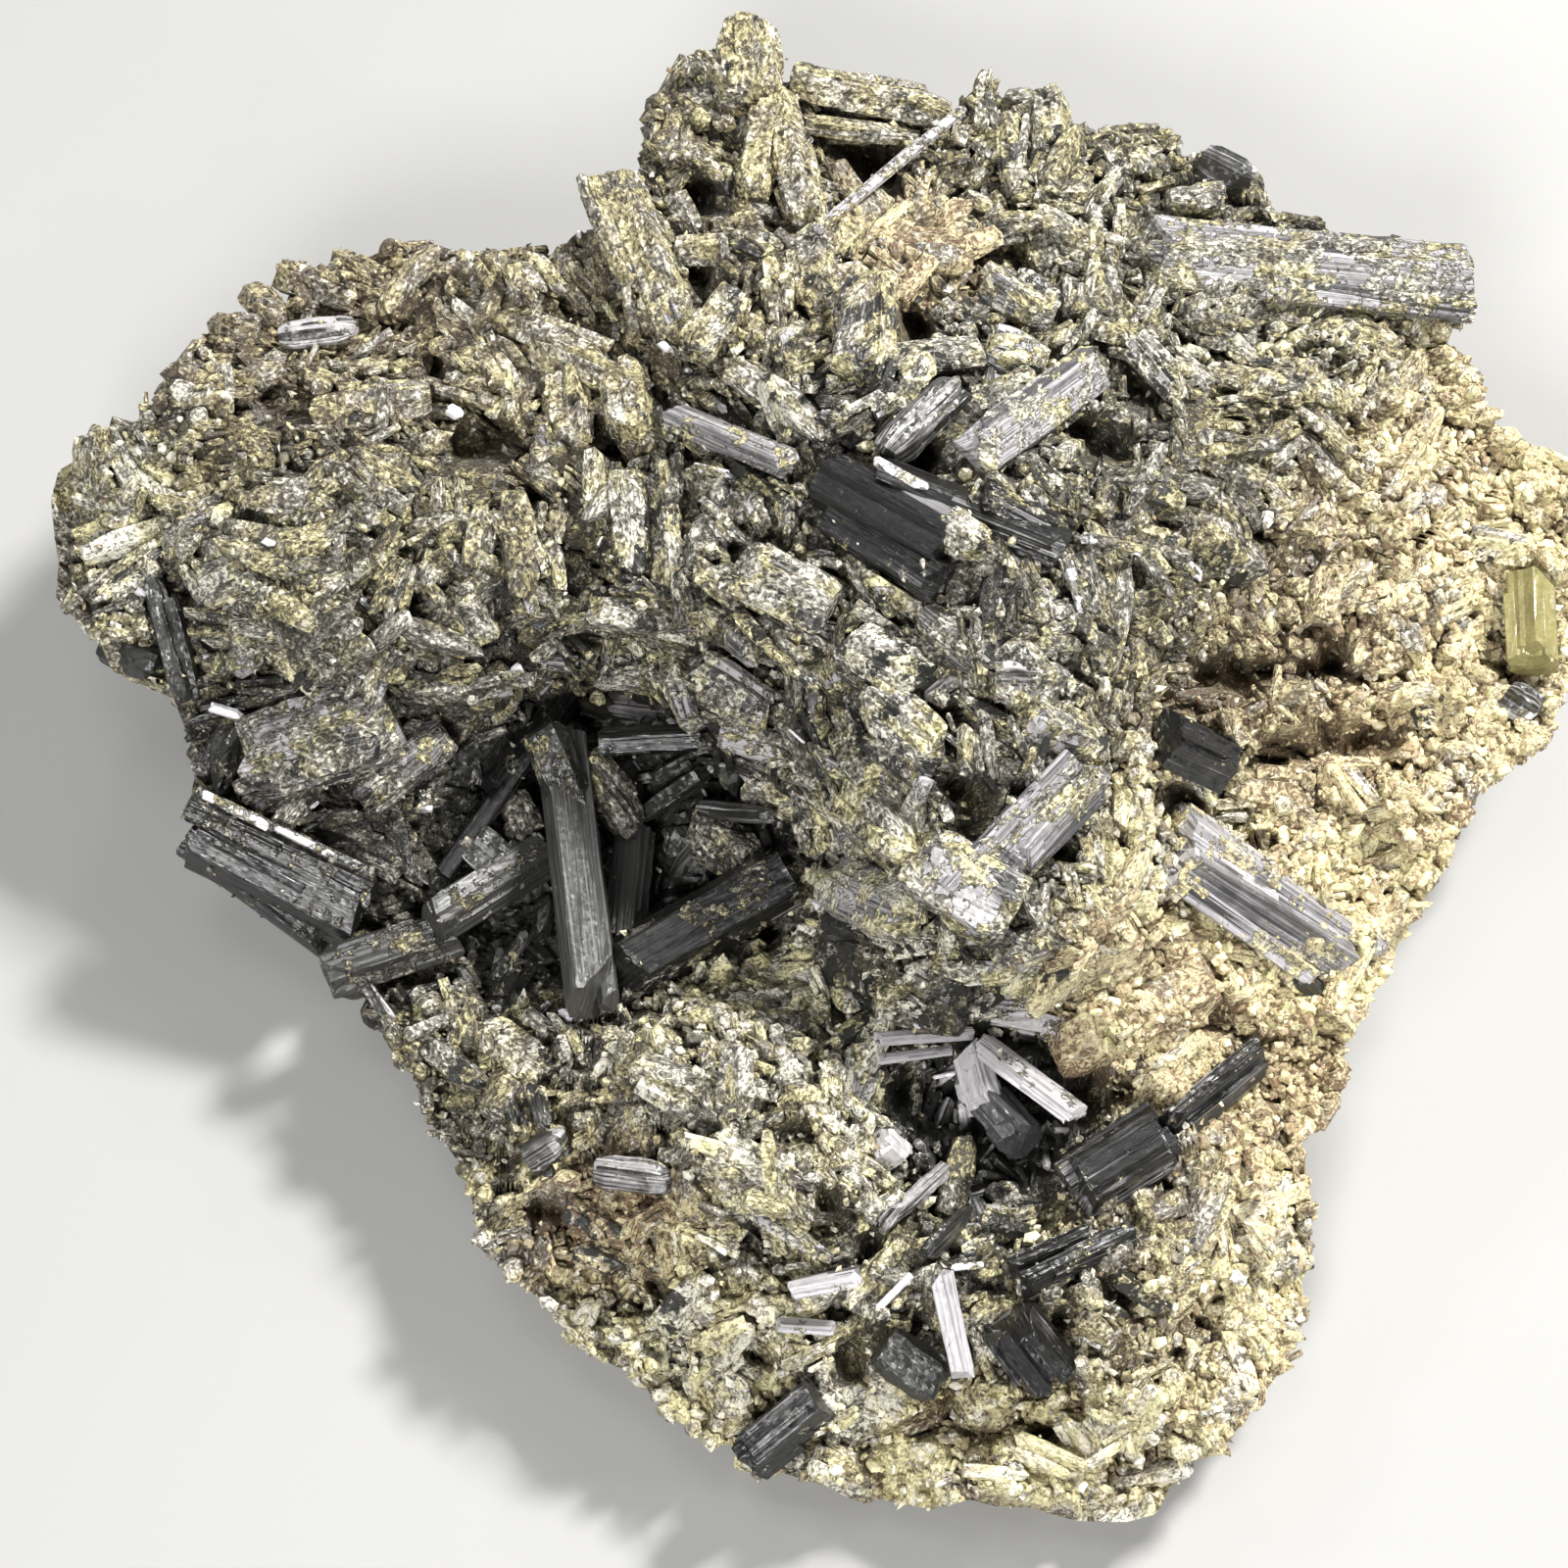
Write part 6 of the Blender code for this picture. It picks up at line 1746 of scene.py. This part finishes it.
class NodeBook:
    """Adds and links the nodes of one material."""

    def __init__(self, name: str) -> None:
        """Starts a material with its shader, its output and its places in metres."""
        self.material = bpy.data.materials.new(name)
        self.material.use_nodes = True
        self.tree = self.material.node_tree
        self.shader = self.tree.nodes["Principled BSDF"]
        self.place = self.add("ShaderNodeTexCoord").outputs["Object"]

    def add(self, kind: str, **settings: object) -> Node:
        """A node of a kind, with its settings."""
        node = self.tree.nodes.new(kind)
        for key, value in settings.items():
            setattr(node, key, value)
        return node

    def feed(self, socket: Socket, value: object) -> None:
        """Links an output to a socket, or sets a plain value on it."""
        if isinstance(value, Socket):
            self.tree.links.new(value, socket)
        else:
            socket.default_value = value

    def feed_all(self, node: Node, entries: dict[str, object]) -> Node:
        """The node, with its inputs fed under their names."""
        for name, value in entries.items():
            self.feed(node.inputs[name], value)
        return node

    def dress(self, entries: dict[str, object]) -> Material:
        """The material, with its shader's inputs fed."""
        self.feed_all(self.shader, entries)
        return self.material

    def tones(self) -> tuple[Socket, ...]:
        """Outputs with cover, warmth, light and each crystal's own value."""
        tone = self.add("ShaderNodeAttribute", attribute_name="tone")
        split = self.add("ShaderNodeSeparateColor")
        self.feed(split.inputs[0], tone.outputs["Color"])
        return (*split.outputs, tone.outputs["Alpha"])

    def noise(
        self, place: object, scale: float, detail: float, roughness: float, curl: float = 0.0
    ) -> Socket:
        """Adds noise.

        Args:
            place: Coordinates in metres.
            scale: Waves a metre.
            detail: Number of finer layers.
            roughness: Share of each finer layer.
            curl: How far its waves are curled.

        Returns:
            Output with the value.
        """
        entries = {"Vector": place, "Scale": scale, "Detail": detail, "Roughness": roughness}
        node = self.feed_all(self.add("ShaderNodeTexNoise"), {**entries, "Distortion": curl})
        return node.outputs["Fac"]

    def math(self, operation: str, *values: object) -> Socket:
        """Result of a sum or product of up to three values."""
        node = self.add("ShaderNodeMath", operation=operation)
        for socket, value in zip(node.inputs, values):
            self.feed(socket, value)
        return node.outputs[0]

    def moved(self, base: object, by: object, factor: float, middle: float = 0.5) -> Socket:
        """A value moved by another: base + factor (by - middle)."""
        return self.math("MULTIPLY_ADD", self.math("SUBTRACT", by, middle), factor, base)

    def band(self, value: object, low: float, high: float, *ends: float) -> Socket:
        """Value carried smoothly from 0 at low to 1 at high, or between two other ends."""
        node = self.add("ShaderNodeMapRange", interpolation_type="SMOOTHSTEP")
        for socket, entry in zip(node.inputs, (value, low, high, *(ends or (0.0, 1.0)))):
            self.feed(socket, entry)
        return node.outputs[0]

    def mix(self, share: object, first: object, second: object) -> Socket:
        """Blend of two colours."""
        node = self.add("ShaderNodeMix", data_type="RGBA")
        self.feed(node.inputs[0], share)
        for socket, value in ((node.inputs[6], first), (node.inputs[7], second)):
            self.feed(socket, value if isinstance(value, Socket) else (*value, 1.0))
        return node.outputs[2]

    def blend(self, share: object, first: object, second: object) -> Socket:
        """Blend of two numbers."""
        node = self.add("ShaderNodeMix", data_type="FLOAT")
        for index, value in ((0, share), (2, first), (3, second)):
            self.feed(node.inputs[index], value)
        return node.outputs[0]

    def facets(self, scale: float, tilt: float) -> tuple[Socket, Socket]:
        """Adds small flat facets, each with its own value and its own lean.

        Each cell of a Voronoi pattern has a random colour C, and the normal is N + tilt (2 C - 1),
        brought to length one.

        Args:
            scale: Cells a metre.
            tilt: Greatest lean.

        Returns:
            Outputs with the value and the normal.
        """
        cells = self.feed_all(
            self.add("ShaderNodeTexVoronoi"), {"Vector": self.place, "Scale": scale}
        )
        split = self.add("ShaderNodeSeparateColor")
        self.feed(split.inputs[0], cells.outputs["Color"])
        lean = self.add("ShaderNodeVectorMath", operation="MULTIPLY_ADD")
        entries = (cells.outputs["Color"], (2 * tilt,) * 3, (-tilt,) * 3)
        for socket, value in zip(lean.inputs, entries):
            self.feed(socket, value)
        total = self.add("ShaderNodeVectorMath", operation="ADD")
        self.feed(total.inputs[0], self.add("ShaderNodeNewGeometry").outputs["Normal"])
        self.feed(total.inputs[1], lean.outputs[0])
        even = self.add("ShaderNodeVectorMath", operation="NORMALIZE")
        self.feed(even.inputs[0], total.outputs[0])
        return split.outputs[0], even.outputs[0]

    def bump(self, height: object, distance: float, strength: float, **normal: Socket) -> Socket:
        """Normal, or the one given as Normal, bent by a height."""
        entries = {"Height": height, "Distance": distance, "Strength": strength, **normal}
        return self.feed_all(self.add("ShaderNodeBump"), entries).outputs["Normal"]

    def stretched(self, scale: Place) -> Socket:
        """UV places of the crystal times a scale; the second one runs along it."""
        seam = self.add("ShaderNodeUVMap", uv_map="grain").outputs["UV"]
        mapping = self.feed_all(self.add("ShaderNodeMapping"), {"Vector": seam, "Scale": scale})
        return mapping.outputs["Vector"]


@dataclass(frozen=True)
class Crust:
    """The rough coat: pale flecks on a ground from grey to olive and ochre, with dark gaps."""

    grey: Colour = (0.225, 0.21, 0.185)
    olive: Colour = (0.285, 0.25, 0.125)
    ochre: Colour = (0.58, 0.48, 0.29)
    pale: Colour = (0.82, 0.785, 0.665)
    yellow: Colour = (0.83, 0.775, 0.45)
    # Painted shade: the near-black colour of the crust's gaps, and the rusty brown that warm gaps
    # take, partly the crust's own stain and partly painted shade
    painted_pore_shade: Colour = (0.045, 0.039, 0.024)
    rust: Colour = (0.21, 0.135, 0.075)

    def tints(self, book: NodeBook, warmth: Socket) -> tuple[Socket, Socket]:
        """Outputs with the warm ground and the colour of the gaps."""
        # The second output is the gaps' colour: painted shade, rusty brown in warm parts
        strong = book.mix(book.band(warmth, 0.42, 0.8), self.olive, self.ochre)
        return strong, book.mix(book.band(warmth, 0.4, 0.85), self.painted_pore_shade, self.rust)

    def coat(self, book: NodeBook, place: object, tone: tuple, cell: object) -> tuple:
        """Lays out the coat's colour and relief.

        The level is fine noise, moved by patches, by each small facet and by the light tone, which
        carries painted light and shade. Below one level lie the gaps, painted dark as shade, above
        another the pale flecks, partly pale grains and partly painted highlights, and between them
        the ground.

        Args:
            book: Material in the making.
            place: Coordinates in metres.
            tone: Outputs with warmth and light.
            cell: Output with each facet's own value.

        Returns:
            Outputs with the colour and the height.
        """
        warmth, light = tone
        waves = book.noise(place, 2300.0, 2.0, 0.6, 0.6)
        swells = book.noise(place, 780.0, 2.0, 0.6, 0.4)
        patch = book.noise(place, 260.0, 2.0, 0.6)
        stain = book.noise(place, 190.0, 2.0, 0.6)
        region = book.noise(place, 80.0, 1.0, 0.5)
        level = book.moved(waves, patch, 0.30)
        level = book.moved(level, swells, 0.62)
        level = book.moved(level, cell, 0.08)
        level = book.moved(level, light, 0.38, 0.6)
        hue = book.moved(book.moved(stain, warmth, 0.36), region, 0.55)
        strong, dark = self.tints(book, warmth)
        ground = book.mix(book.band(hue, 0.38, 0.58), self.grey, strong)
        # Painted shade: the gaps' colour where the level is low
        ground = book.mix(book.band(level, 0.34, 0.465), dark, ground)
        # Pale flecks where the level is high, partly pale grains and partly painted highlights
        fleck = book.mix(book.band(hue, 0.42, 0.62), self.pale, self.yellow)
        colour = book.mix(book.band(level, 0.50, 0.655), ground, fleck)
        return colour, book.math("MULTIPLY_ADD", cell, 0.10, level)


@dataclass(frozen=True)
class StoneFinish:
    """Bare crystal faces under a broken crust.

    dark is the colour of the bare faces, and the second colour a painted reflection laid over
    it, streaked along the crystal where striae is above 0: a streak is dark below the first of
    edges and takes the painted reflection above the second. The crust is the place where two
    scales of noise, moved by the cover, pass one half.
    """

    dark: Colour
    painted_sheen: Colour
    roughness: float
    striae: float
    tilt: float
    edges: Pair = (0.40, 0.68)
    crust: Crust = Crust()
    crust_roughness: float = 0.62
    ior: float = 1.7

    def build(self, name: str) -> Material:
        """Makes the material.

        Args:
            name: Its name.

        Returns:
            The material.
        """
        book = NodeBook(name)
        cover, warmth, light, own = book.tones()
        fine = book.noise(book.place, 1300.0, 3.0, 0.66, 0.5)
        patch = book.noise(book.place, 300.0, 3.0, 0.6)
        cell, normal = book.facets(2500.0, self.tilt)
        striated = self.striae > 0
        ground = book.stretched((MM, 0.7 * MM, MM)) if striated else book.place

        mixed = book.math("MULTIPLY_ADD", fine, 0.34, book.math("MULTIPLY", patch, 0.66))
        mask = book.band(book.moved(mixed, cover, 0.42), 0.475, 0.515)
        crust, relief = self.crust.coat(book, ground, (warmth, light), cell)

        # Painted reflection: its share comes from each crystal's own value and from patches, and is
        # taken away where the light tone is low, so the painted shade of the gaps dulls it
        cloud = book.math("MULTIPLY_ADD", patch, 0.35, 0.325) if striated else patch
        painted_sheen = book.band(book.math("MULTIPLY_ADD", own, 0.7, cloud), 0.60, 1.30)
        painted_sheen = book.math("MULTIPLY", painted_sheen, book.band(light, 0.2, 0.55))
        rough = self.roughness
        if striated:
            lines = book.noise(book.stretched((1.0, 0.014, 1.0)), 3.0, 4.0, 0.78)
            # The painted reflection is laid in thin streaks along the crystal, as painted glint
            # lines
            painted_sheen = book.band(book.moved(lines, painted_sheen, 0.50), *self.edges)
            rough = book.band(lines, 0.3, 0.7, self.roughness, self.roughness + 0.22)
            normal = book.bump(lines, 0.00012, self.striae, Normal=normal)
        # Bare faces: their own dark colour, with the painted reflection over it
        bare = book.mix(painted_sheen, self.dark, self.painted_sheen)
        coat = book.math("MULTIPLY", book.math("MULTIPLY_ADD", relief, 1.0, 0.3), mask)
        return book.dress({
            "Base Color": book.mix(mask, bare, crust),
            "Roughness": book.blend(mask, rough, self.crust_roughness),
            "IOR": self.ior,
            "Normal": book.bump(coat, 0.00070, 1.0, Normal=normal),
        })


@dataclass(frozen=True)
class GrainFinish:
    """Sugary grains, from grey-green to ochre, each of its own lightness."""

    crust: Crust = Crust()
    ior: float = 1.6

    def build(self, name: str) -> Material:
        """Makes the material.

        Args:
            name: Its name.

        Returns:
            The material.
        """
        book = NodeBook(name)
        _, warmth, light, own = book.tones()
        speck = book.noise(book.place, 1900.0, 2.0, 0.6)
        patch = book.noise(book.place, 230.0, 3.0, 0.68)
        strong, dark = self.crust.tints(book, warmth)
        hue = book.moved(patch, warmth, 0.36)
        ground = book.mix(book.band(hue, 0.42, 0.58), self.crust.grey, strong)
        # The level: each grain's own value, the light tone with its painted light and shade, and
        # specks; low levels take the gaps' painted shade, high ones pale flecks that are partly
        # painted highlights
        level = book.math("MULTIPLY_ADD", own, 0.42, book.math("MULTIPLY_ADD", light, 0.5, speck))
        colour = book.mix(book.band(level, 0.62, 1.12), dark, ground)
        fleck = book.mix(book.band(hue, 0.47, 0.66), self.crust.pale, self.crust.yellow)
        return book.dress({
            "Base Color": book.mix(book.band(level, 0.98, 1.3), colour, fleck),
            "Roughness": book.band(speck, 0.3, 0.7, 0.45, 0.75),
            "IOR": self.ior,
            "Normal": book.bump(speck, 0.00025, 0.6),
        })


@dataclass(frozen=True)
class HoneyFinish:
    """The translucent yellow crystal: waxy, clouded and a little frosted."""

    clear: Colour = (0.38, 0.335, 0.13)
    cloud: Colour = (0.26, 0.23, 0.09)
    frost: Colour = (0.85, 0.78, 0.5)
    transmission: float = 0.3
    ior: float = 1.72

    def build(self, name: str) -> Material:
        """Makes the material.

        Args:
            name: Its name.

        Returns:
            The material.
        """
        book = NodeBook(name)
        patch = book.noise(book.place, 420.0, 4.0, 0.6)
        fine = book.noise(book.place, 2200.0, 3.0, 0.6)
        colour = book.mix(book.band(patch, 0.35, 0.65), self.clear, self.cloud)
        return book.dress({
            "Base Color": book.mix(book.band(fine, 0.66, 0.78), colour, self.frost),
            "Roughness": book.band(fine, 0.3, 0.7, 0.18, 0.5),
            "Transmission Weight": self.transmission,
            "IOR": self.ior,
            "Normal": book.bump(fine, 0.0002, 0.4),
        })


@dataclass(frozen=True)
class FloorFinish:
    """Plain pale floor with a faint unevenness."""

    pale: Colour = (0.35, 0.35, 0.346)
    paler: Colour = (0.38, 0.38, 0.376)
    roughness: float = 0.7

    def build(self, name: str) -> Material:
        """Makes the material.

        Args:
            name: Its name.

        Returns:
            The material.
        """
        book = NodeBook(name)
        cloud = book.band(book.noise(book.place, 3.0, 3.0, 0.5), 0.3, 0.7)
        colour = book.mix(cloud, self.pale, self.paler)
        return book.dress({"Base Color": colour, "Roughness": self.roughness})


# Finishes: dark colour, painted reflection colour, roughness, striae, tilt and edges. The dark
# colour is the stone's own; the second is painted, faint on the rock's bare patches, and the white
# finish paints both colours pale as glints
ROCK_FINISH = StoneFinish((0.020, 0.020, 0.016), (0.15, 0.15, 0.13), 0.5, 0.0, 0.24)
FINISHES = {
    Bare.BLACK: StoneFinish(
        (0.005, 0.005, 0.005), (0.25, 0.245, 0.25), 0.20, 0.7, 0.12, (0.44, 0.62)
    ),
    Bare.GREY: StoneFinish(
        (0.040, 0.040, 0.038), (0.32, 0.32, 0.31), 0.24, 0.7, 0.07, (0.38, 0.74)
    ),
    Bare.SILVER: StoneFinish(
        (0.058, 0.056, 0.060), (0.52, 0.50, 0.52), 0.26, 0.8, 0.12, (0.41, 0.76)
    ),
    Bare.COATED: StoneFinish(
        (0.018, 0.018, 0.015), (0.50, 0.48, 0.49), 0.26, 0.6, 0.20, (0.42, 0.66)
    ),
    Bare.PAINTED_GLINT: StoneFinish(
        (0.26, 0.255, 0.26), (0.86, 0.84, 0.87), 0.14, 0.5, 0.16, (0.28, 0.56)
    ),
    Bare.YELLOW: HoneyFinish(),
}


@dataclass(frozen=True)
class Lamp:
    """A soft square lamp that looks at the specimen's middle."""

    name: str
    place: Place
    size: float
    power: float
    colour: Colour = (1.0, 1.0, 1.0)

    def build(self, target: Array) -> None:
        """Hangs the lamp so that its -Z axis points at a target.

        Its fall is the angle from straight down, and its swing goes round the vertical.

        Args:
            target: The point, in metres.
        """
        light = bpy.data.lights.new(self.name, "AREA")
        light.size, light.energy, light.color = self.size, self.power, self.colour
        made = bpy.data.objects.new(self.name, light)
        made.location = self.place
        ray = target - np.array(self.place)
        fall = math.acos(-ray[2] / np.linalg.norm(ray))
        made.rotation_euler = (fall, 0.0, math.atan2(ray[1], ray[0]) - math.pi / 2)
        bpy.context.scene.collection.objects.link(made)


@dataclass(frozen=True)
class Studio:
    """Floor, lamps, sky and the camera at the photographed angle."""

    lamps: tuple[Lamp, ...] = (
        Lamp("key", (0.46, 0.34, 0.70), 0.14, 14.2, (1.0, 0.985, 0.95)),
        Lamp("front", (-0.16, -0.60, 0.66), 0.26, 7.0, (1.0, 0.99, 0.97)),
        Lamp("top", (-0.15, 0.05, 1.1), 0.3, 1.6),
        Lamp("left_glint", (-0.62, 0.22, 0.62), 0.06, 0.7),
        Lamp("right_glint", (0.72, -0.22, 0.55), 0.06, 0.7),
        Lamp("back_glint", (-0.1, 0.75, 0.5), 0.07, 0.7),
    )
    sky: Colour = (0.86, 0.88, 0.92)
    sky_strength: float = 0.16
    floor_half: float = 3.0
    sensor: float = 36.0
    clip: Pair = (0.01, 20.0)

    def build(self) -> None:
        """Makes the studio."""
        scene = bpy.context.scene
        target = np.array(VIEW.aim) * MM
        for lamp in self.lamps:
            lamp.build(target)
        world = bpy.data.worlds.new("studio")
        world.use_nodes = True
        back = world.node_tree.nodes["Background"]
        back.inputs["Color"].default_value = (*self.sky, 1.0)
        back.inputs["Strength"].default_value = self.sky_strength
        scene.world = world
        scene.view_settings.view_transform = "Standard"
        self.build_floor()
        camera = bpy.data.cameras.new("camera")
        camera.sensor_width = self.sensor
        camera.lens = self.sensor * VIEW.distance / (2 * VIEW.half_width)
        camera.clip_start, camera.clip_end = self.clip
        made = bpy.data.objects.new("camera", camera)
        made.location = VIEW.eye * MM
        made.rotation_euler = (math.pi / 2 - VIEW.tilt, 0.0, 0.0)
        scene.collection.objects.link(made)
        scene.camera = made

    def build_floor(self) -> None:
        """Lays the floor at the table's level."""
        half = self.floor_half
        mesh = bpy.data.meshes.new("floor")
        corners = [(x * half, y * half, 0.0) for x, y in ((-1, -1), (1, -1), (1, 1), (-1, 1))]
        mesh.from_pydata(corners, [], [(0, 1, 2, 3)])
        mesh.materials.append(FloorFinish().build("pale_floor"))
        floor = bpy.data.objects.new("floor", mesh)
        bpy.context.scene.collection.objects.link(floor)


GROWTHS = {
    "medium_crystals": Growth(
        2400, (4.0, 12.0), (1.3, 3.4), (0.5, 1.0), (-14.0, 30.0), 0.4, 101, 1.4, 2, 0.5, 0.2,
        Cut(0, 0.09, (0.0, 0.30, 0.66, 1.0), 0.07), dusty=True,
    ),
    "slender_crystals": Growth(
        3300, (3.0, 8.5), (0.8, 1.9), (0.6, 1.0), (-8.0, 40.0), 0.3, 106, 1.0, 3, 0.55, 0.0,
        Cut(0, 0.0, (0.0, 0.4, 1.0), 0.06), dusty=True,
    ),
    "small_crystals": Growth(
        6400, (1.6, 4.4), (0.6, 1.4), (0.5, 1.0), (-5.0, 60.0), 0.25, 111, 0.5, 2, 0.4, -0.8,
        Cut(swell=0.05),
    ),
    # Painted glints: tiny crystals in the white finish, scattered over the rock
    "glint_crystals": Growth(
        900, (0.9, 2.6), (0.3, 0.8), (0.5, 1.0), (-5.0, 50.0), 0.2, 116, 0.6, 1, 0.85, 0.0,
        Cut(swell=0.05), Bare.PAINTED_GLINT,
    ),
}


@dataclass(frozen=True)
class Cluster:
    """The whole specimen."""

    rock: Rock = Rock()
    knobs: Knobs = Knobs(3800, (1.2, 3.6), 151, 0.7)
    sugar_knobs: Knobs = Knobs(8600, (0.8, 2.0), 161, 2.2, 0.1, 5, 2)
    fine_grains: Grains = Grains(17000, (0.45, 1.0), 0.3, 131, 1.2)
    dust_grains: Grains = Grains(17500, (0.35, 0.9), 0.1, 141, 1.0, 0.4)
    margin: float = 0.2
    overhang: float = 1.02

    def box(self) -> Array:
        """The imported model's box in millimetres, drawn in a little at the floor."""
        box = np.array(CAD_BOX) / MM
        box[0, 2] = self.margin
        return box

    def build(self) -> None:
        """Builds and dresses every piece."""
        stone = ROCK_FINISH.build("crusted_rock")
        finishes = {kind: finish.build(kind.value) for kind, finish in FINISHES.items()}
        rock = self.rock.shell().build("rock", stone)
        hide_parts("matrix")
        skin, box = self.rock.skin(), self.box()
        dusted = LargeCrystals(self.rock).build(finishes)
        rows = [row for large in CRYSTALS.values() for row in large.prisms]
        shown = prism_table((*rows, *SET_CRYSTALS))
        for name, growth in GROWTHS.items():
            crystals = growth.crystals(skin, box).clear_of(shown, growth.margin)
            shell = crystals.over(self.rock, self.overhang).shell(growth.cut)
            piece = shell.build(name, finishes[growth.face])
            if growth.dusty:
                dusted.append(shell.skin())
        sugar = GrainFinish().build("sugary_grains")
        for name, grains, ground, finish in (
            ("crust_knobs", self.knobs, skin, stone),
            ("sugar_knobs", self.sugar_knobs, skin, sugar),
            ("fine_grains", self.fine_grains, skin, sugar),
            ("dust_grains", self.dust_grains, Skin.joined(dusted), sugar),
        ):
            piece = grains.shell(ground, box).build(name, finish)


def main() -> None:
    """Builds the cluster and its studio."""
    logging.basicConfig(level=logging.INFO, format="%(message)s")
    Cluster().build()
    Studio().build()


if __name__ == "__main__":
    main()
